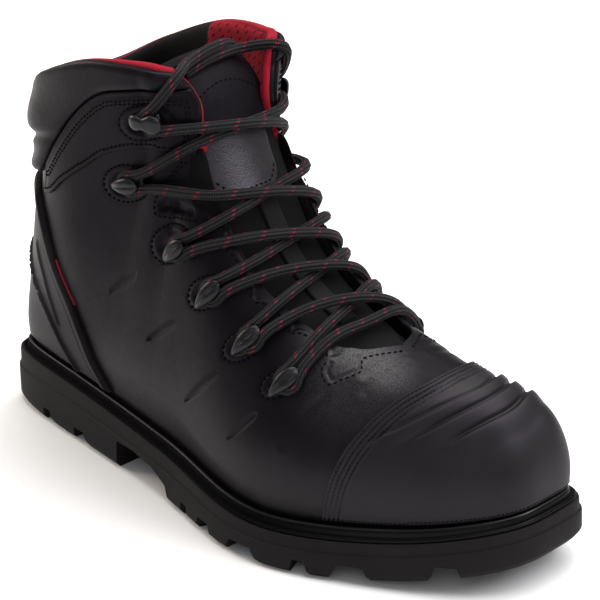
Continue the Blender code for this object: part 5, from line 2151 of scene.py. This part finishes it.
@dataclass
class Hooks:
    """Lace hooks: a plate, a neck and a creased leaf-shaped cap, and the oval seats sewn round them."""

    shop: Workshop
    length: float = 17.0
    width: float = 9.5
    set_back: float = 0.12
    point_width: float = 0.30
    lift: float = 0.5
    plate: float = 1.2
    post: float = 4.5
    cap: float = 2.5
    post_radius: float = 1.7
    droop: float = 2.2
    crease: float = 0.55

    def frame(self, number: int, side: Side) -> tuple[Array, Array, Array, Array]:
        """Foot of a hook and the directions along its cap, across it and out of the upper.

        Args:
            number: Number of the hook, from 0.
            side: Half of the boot.

        Returns:
            The foot and the three directions.
        """
        last, place = self.shop.last, HOOKS[number].place(side)
        out = last.normal(*place, side)
        seat = self.lift + (PANEL_SEAT if number == PANEL_HOOK else 0.0)
        forward = np.array([1.0, 0.0, 0.0])
        forward = unit(forward - out * (forward @ out))
        rising = np.cross(out, forward) * -side.value
        angle = math.radians(HOOKS[number].turn)
        along = forward * math.cos(angle) + rising * math.sin(angle)
        return last.point(*place, side) + out * seat, along, np.cross(out, along), out

    def outline(self, turn: Array, pinched: bool) -> tuple[Array, Array]:
        """Outline of a cap about its post: round at the front and pointed at the back, or pinched.

        Args:
            turn: Angles round the cap.
            pinched: Whether the cap has a waist.

        Returns:
            Lengths along and across the cap.
        """
        x = self.length * (0.5 * np.cos(turn) - self.set_back)
        if pinched:
            share = np.cos(turn)
            width = (1.0 - .38 * bell(share, -.05, .34)) * (.86 + .14 * share)
            return x, self.width * .55 * np.sign(np.sin(turn)) * np.abs(np.sin(turn)) ** .6 * width
        width = self.point_width + (1 - self.point_width) * (0.5 + 0.5 * np.cos(turn)) ** .8
        return x, self.width * 0.5 * np.sin(turn) * width * 1.06

    def build(self) -> None:
        """Make a hook for each solid."""
        turn = np.linspace(0, 2 * math.pi, 41)
        neck = self.plate + self.post
        for side in Side:
            for number in range(len(HOOKS)):
                pinched = number == PANEL_HOOK
                x, y = self.outline(turn, pinched)
                round_x, round_y = self.post_radius * np.cos(turn), self.post_radius * np.sin(turn)
                middle = -self.length * self.set_back
                levels = [(x * .02, y * .02, 0.0), (x * .42, y * .72, 0.0), (x * .45, y * .78, .5),
                          (x * .40, y * .66, self.plate), (round_x * 1.15, round_y * 1.15, self.plate + .3),
                          (round_x, round_y, self.plate + 1.2), (round_x, round_y, neck - .5),
                          (round_x * 1.3, round_y * 1.3, neck)]
                for scale, height in ((.80, 0), (.93, .2), (.99, .55), (1, .85), (.97, 1.25), (.90, 1.65),
                                      (.78, 2.05), (.62, 2.35), (.44, 2.52), (.25, 2.6), (.08, 2.62)):
                    cap_x, cap_y = middle + (x - middle) * scale, y * scale
                    tip = np.clip(-(cap_x - middle) / (self.length / 2), 0, 1)
                    crown = height / 2.6 * self.cap
                    if height > 1.0 and not pinched:
                        crown = crown - self.crease * np.exp(-(cap_y / .55) ** 2)
                    if pinched:
                        crown = crown * (1 + .25 * bell(np.abs(cap_x - middle) / self.length, .36, .14))
                    levels.append((cap_x, cap_y, neck + crown - self.droop * tip ** 1.6))
                foot, along, across, out = self.frame(number, side)
                rings = []
                for ring_x, ring_y, height in levels:
                    high = np.broadcast_to(height, ring_x.shape)
                    rings.append(foot + ring_x[:, None] * along + ring_y[:, None] * across
                                 + high[:, None] * out)
                shape = Shape()
                numbers = shape.grid(np.stack(rings))
                for row in (numbers[0], numbers[-1]):
                    shape.faces.append(tuple(int(i) for i in row[:-1]))
                    shape.slots.append(0)
                name = f"hook_{side.name.lower()}_{number + 1}"
                piece = shape.build(f"lace_{name}", [self.shop.finish.hardware], sharp=60)
                self.shop.keep(piece, "hardware", name)
        self.sew()

    def sew(self) -> None:
        """Oval rows of stitches round the hooks' beds."""
        rows = []
        for side in Side:
            for number in range(len(HOOKS)):
                lift = .1 + (PANEL_SEAT if number == PANEL_HOOK else 0.0)
                rows.append(seat_of(number, side).ring(self.shop.last, side, lift))
        self.shop.sew("seat_stitches", rows)


@dataclass
class Lace:
    """One lace that runs tautly from hook to hook and stops at the top ones."""

    shop: Workshop
    hooks: Hooks
    tongue: Tongue
    radius: float = 2.25
    side_step: float = 2.6
    pull: float = 4.0
    height: float = 3.95
    edge_height: float = 2.5
    panel_step: float = 1.2
    top_edge: float = 0.401
    edge_run: tuple[float, float] = (.411, .655)
    # Hidden ends: length along the tongue, place across it, height over its face
    first_end: Rows = ((168.5, .86, -8.55), (170.4, .84, -2.2), (170.6, .60, 1.2), (168.4, .05, 3.0),
                       (165.8, -.55, 3.4))
    final_end: Rows = ((167.4, .72, 1.2), (166.4, .25, 0), (165.0, -.25, -.3), (163.6, -.62, -1.2))
    clearance: float = 0.2
    over: float = 5.2
    slack: int = 7
    flutes: int = 8

    def edge(self, side: Side) -> Array:
        """Points that a lace may pass along a side of the throat.

        Args:
            side: Half of the boot.

        Returns:
            The points.
        """
        last, stations = self.shop.last, np.linspace(*self.edge_run, 140)
        rise = last.free_edge(stations, side)
        points = last.point(stations, rise, side)
        lift = self.edge_height + self.panel_step * ease(points[:, 2], 138, 150)
        return points + last.normal(stations, rise, side) * lift[:, None]

    def foot(self, number: int, side: Side) -> tuple[Array, Array]:
        """Point where the lace turns at a hook, and the way out of the upper there.

        Args:
            number: Number of the hook, from 0.
            side: Half of the boot.

        Returns:
            The point and the way out.
        """
        last, place = self.shop.last, HOOKS[number].place(side)
        out = last.normal(*place, side)
        lift = self.height + (PANEL_SEAT if number == PANEL_HOOK else 0.0)
        return last.point(*place, side) + out * lift, out

    def start(self, number: int, side: Side, towards: Array, above: bool) -> Array:
        """Point where a run leaves its hook, on the upper or the lower side of the neck.

        Args:
            number: Number of the hook, from 0.
            side: Half of the boot.
            towards: Point that the run heads for.
            above: Whether it leaves on the upper side.

        Returns:
            The point.
        """
        foot, out = self.foot(number, side)
        pull = towards - foot
        pull = unit(pull - out * (pull @ out))
        aside = np.cross(out, pull) * -side.value * (self.side_step if above else -self.side_step)
        return foot + pull * self.pull + aside

    def run(self, one: tuple[int, Side], two: tuple[int, Side], lift: float) -> list[Array]:
        """Shortest run between two hooks over both edges of the throat, clear of the tongue.

        Args:
            one: Hook and side where it starts.
            two: Hook and side where it ends.
            lift: Extra height of its middle.

        Returns:
            Points along the run.
        """
        first, second = self.edge(one[1]), self.edge(two[1])
        begin, end = self.foot(*one)[0], self.foot(*two)[0]
        cost = (np.linalg.norm(first - begin, axis=1)[:, None] + np.linalg.norm(second - end, axis=1)[None, :]
                + np.linalg.norm(first[:, None] - second[None], axis=-1))
        i, j = np.unravel_index(np.argmin(cost), cost.shape)
        start = self.start(*one, first[i], two[0] > one[0])
        stop = self.start(*two, second[j], one[0] > two[0])
        return [start, first[i], self.crown((first[i] + second[j]) / 2, lift), second[j], stop]

    def turn(self, number: int, side: Side, arriving: Array, leaving: Array) -> list[Array]:
        """Turn of the lace behind a hook's neck.

        Args:
            number: Number of the hook, from 0.
            side: Half of the boot.
            arriving: Last point of the run before.
            leaving: First point of the run after.

        Returns:
            Points round the neck.
        """
        foot, out = self.foot(number, side)
        middle = (arriving + leaving) / 2 - foot
        towards = unit(middle - out * (middle @ out))
        across = leaving - arriving
        across = unit(across - out * (across @ out) - towards * (across @ towards))
        reach = self.hooks.post_radius + self.radius + .1
        turns = np.radians((-95, -140, 180, 140, 95))
        return [foot + reach * (towards * math.cos(angle) + across * math.sin(angle)) for angle in turns]

    def crown(self, middle: Array, lift: float) -> Array:
        """Top of a run: the middle between its edges, or clear of the tongue where that stands higher.

        Args:
            middle: Middle between the edges.
            lift: Extra height.

        Returns:
            The point.
        """
        along = np.linspace(0, self.tongue.end, 88)
        feet = self.tongue.point(along, 0.0, 0.0)
        normals = unit(self.tongue.point(along, 0.0, 1.0) - feet)
        i = int(np.argmin(np.linalg.norm(feet - middle, axis=1)))
        tongue = self.tongue
        cover = tongue.flap_thickness if along[i] > tongue.flap[0] else tongue.webbing_thickness
        seat = tongue.thickness / 2 + tongue.seat + cover + self.clearance + self.radius + lift
        return middle + normals[i] * max(lift, seat - (middle - feet[i]) @ normals[i])

    def route(self) -> Array:
        """Whole route: from behind the tongue's top to the lateral side, down, across and up again.

        Returns:
            Points along the route.
        """
        count, tongue = len(HOOKS), self.tongue
        face = tongue.thickness / 2 + .6 + self.radius
        down = [(number, Side.LATERAL if (count - 1 - number) % 2 == 0 else Side.MEDIAL)
                for number in range(count - 1, -1, -1)]
        up = [(number, Side.MEDIAL if side is Side.LATERAL else Side.LATERAL) for number, side in down[::-1]]
        order = down + up
        runs = []
        for one, two in zip(order[:-1], order[1:]):
            lifted = (two[0] > one[0]) == (two[1] is Side.LATERAL)
            runs.append(self.run(one, two, self.over if lifted and two[0] != one[0] else 0.0))
        ends = {side: self.shop.last.on_upper(np.array([self.top_edge, .98]), side, lift)
                for side, lift in ((Side.LATERAL, 4.4), (Side.MEDIAL, 3.4))}
        tails = [[tongue.point(along, across, face + lift) for along, across, lift in tail]
                 for tail in (self.first_end, self.final_end)]
        first = [*tails[0], ends[Side.LATERAL], self.start(*order[0], ends[Side.LATERAL], True)]
        final = [self.start(*order[-1], ends[Side.MEDIAL], True), ends[Side.MEDIAL], *tails[1]]
        runs = [first, *runs, final]
        points: list[Array] = []
        for place, arriving, leaving in zip(order, runs[:-1], runs[1:]):
            points += arriving
            points += self.turn(*place, arriving[-1], leaving[0])
        return np.array(points + final)

    def relax(self, path: Array) -> Array:
        """Draw the lace straighter, except close to the hooks.

        Args:
            path: Points along the middle.

        Returns:
            The same points, moved.
        """
        posts = np.array([self.hooks.frame(number, side)[0] for number in range(len(HOOKS)) for side in Side])
        near = np.min(np.linalg.norm(path[:, None] - posts[None], axis=-1), axis=1)
        free = ease(near, 8, 16)[1:-1, None] * .5
        for _ in range(self.slack ** 2):
            path[1:-1] += free * ((path[:-2] + path[2:]) / 2 - path[1:-1])
        return path

    def build(self) -> None:
        """Make the lace with its flutes."""
        route = self.route()
        length = np.linalg.norm(np.diff(route, axis=0), axis=1).sum()
        path = self.relax(through(route, int(length / 0.9)))
        shape = Shape()

        def fluted(along: Array, turn: Array) -> Array:
            """Radius with its flutes."""
            return self.radius * (1 + .06 * np.sin(self.flutes * turn) + 0 * along)

        middle = np.array([165.0, 0.0, 60.0])
        capped_tube(shape, path, fluted, 32, path - middle)
        piece = shape.build("lace", [self.shop.finish.lace], merge=.005)
        nodes = [f"lace_crossing_{number + 1}" for number in range(len(HOOKS) - 1)]
        self.shop.keep(piece, "lace", "lace_bar_1", "lace_bar_2", *nodes)


@dataclass
class HeelTag:
    """Small woven tag beside the counter's rim, with a red edge."""

    shop: Workshop
    path: Rows = ((.243, .392), (.252, .345), (.264, .292), (.278, .240))
    width: float = 3.6
    red_width: float = 0.35

    def build(self) -> None:
        """Make the tag and its red edge on the lateral side."""
        last, side, finish = self.shop.last, Side.LATERAL, self.shop.finish
        places = through(self.path, 40)
        line, out = last.on_upper(places, side), last.normal(places[:, 0], places[:, 1], side)
        across = unit(np.cross(unit(np.gradient(line, axis=0)), out))
        for name, low, high, lift, cloth, slot in (
                ("heel_tag", -.3, self.width, .8, finish.fabric, "webbing"),
                ("heel_tag_edge", -.4, self.red_width, .95, finish.red_thread, "thread")):
            offsets = np.linspace(low, high, 7)
            base = line[:, None] + across[:, None] * offsets[None, :, None]
            edge = np.minimum(offsets - low, high - offsets)[None, :]
            top = lift * (.4 + .6 * rounded(edge, .5)) * np.ones((len(line), 1))
            shape = Shape()
            shape.shell(base + out[:, None] * top[..., None], base - out[:, None] * .3)
            self.shop.keep(shape.build(name, [cloth]), slot)


# Studio

@dataclass
class Studio:
    """Pale floor, soft lights and the camera at the photograph's angle."""

    eye: tuple[float, float, float] = (796.6, -618.6, 460.8)
    target: tuple[float, float, float] = (179.97, 0.0, 94.4)
    roll: float = -1.55
    lens: float = 131.2
    sensor: float = 36.0
    floor_half: float = 6.0

    def build(self) -> None:
        """Make the floor, the lights and the camera."""
        self.make_floor()
        self.make_lights()
        self.make_camera()

    def make_floor(self) -> None:
        """Large plain floor."""
        graph = Graph("pale_floor")
        grain = graph.noise(40, 2)
        graph.set(Base_Color=graph.blend(grain, (.86, .86, .86), (.88, .88, .88)), Roughness=0.9,
                  Specular_IOR_Level=0.1)
        half = self.floor_half
        mesh = bpy.data.meshes.new("floor")
        corners = [(-half, -half, 0), (half, -half, 0), (half, half, 0), (-half, half, 0)]
        mesh.from_pydata(corners, [], [(0, 1, 2, 3)])
        floor = finish_piece("floor", mesh, [graph.material])

    def make_lights(self) -> None:
        """Soft boxes and an even sky."""
        world = bpy.data.worlds.new("soft_sky")
        world.use_nodes = True
        world.node_tree.nodes["Background"].inputs["Color"].default_value = (1.0, 1.0, 1.0, 1.0)
        world.node_tree.nodes["Background"].inputs["Strength"].default_value = 0.32
        bpy.context.scene.world = world
        bpy.context.scene.view_settings.view_transform = "Standard"
        lights = (
            ("top_box", (0.1, 0.5, 1.9), (0.0, 0.0, 0.0), 2.2, 64.0, (1.0, 0.99, 0.98)),
            ("heel_box", (-1.4, -0.35, 0.8), (-0.1, 0.0, 0.1), 0.7, 12.0, (1.0, 0.88, 0.76)),
            ("fill_box", (1.0, -1.1, 1.0), (0.05, 0.0, 0.08), 1.0, 3.2, (1.0, 0.97, 1.0)),
            ("front_box", (1.2, 0.5, 1.2), (0.05, 0.0, 0.08), 0.8, 14.0, (0.97, 0.97, 1.0)),
        )
        for name, place, aim, size, power, colour in lights:
            lamp = bpy.data.lights.new(name, "AREA")
            lamp.shape = "SQUARE"
            lamp.size = size
            lamp.energy = power
            lamp.color = colour
            box = bpy.data.objects.new(name, lamp)
            box.location = place
            box.rotation_euler = (Vector(aim) - Vector(place)).to_track_quat("-Z", "Y").to_euler()
            bpy.context.scene.collection.objects.link(box)

    def make_camera(self) -> None:
        """Camera at the photograph's angle to the boot."""
        data = bpy.data.cameras.new("camera")
        data.lens = self.lens
        data.sensor_width = self.sensor
        camera = bpy.data.objects.new("camera", data)
        eye, target = ((np.array(place) - ORIGIN) * MM for place in (self.eye, self.target))
        back = unit(eye - target)
        right = unit(np.cross((0.0, 0.0, 1.0), back))
        up = np.cross(back, right)
        angle = math.radians(self.roll)
        right, up = (right * math.cos(angle) + up * math.sin(angle),
                     up * math.cos(angle) - right * math.sin(angle))
        matrix = np.eye(4)
        matrix[:3, 0], matrix[:3, 1], matrix[:3, 2], matrix[:3, 3] = right, up, back, eye
        camera.matrix_world = Matrix(matrix.tolist())
        bpy.context.scene.collection.objects.link(camera)
        bpy.context.scene.camera = camera


def main() -> None:
    """Build the boot's looks from the floor up."""
    logging.basicConfig(level=logging.INFO, format="%(name)s %(message)s")
    for item in list(bpy.data.objects):
        bpy.data.objects.remove(item, do_unlink=True)
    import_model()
    Studio().build()
    shop = Workshop()
    Sole(shop).build()
    Upper(shop).build()
    Overlays(shop).build()
    Collar(shop).build()
    tongue = Tongue(shop)
    tongue.build()
    hooks = Hooks(shop)
    hooks.build()
    Lace(shop, hooks, tongue).build()
    HeelTag(shop).build()


if __name__ == "__main__":
    main()
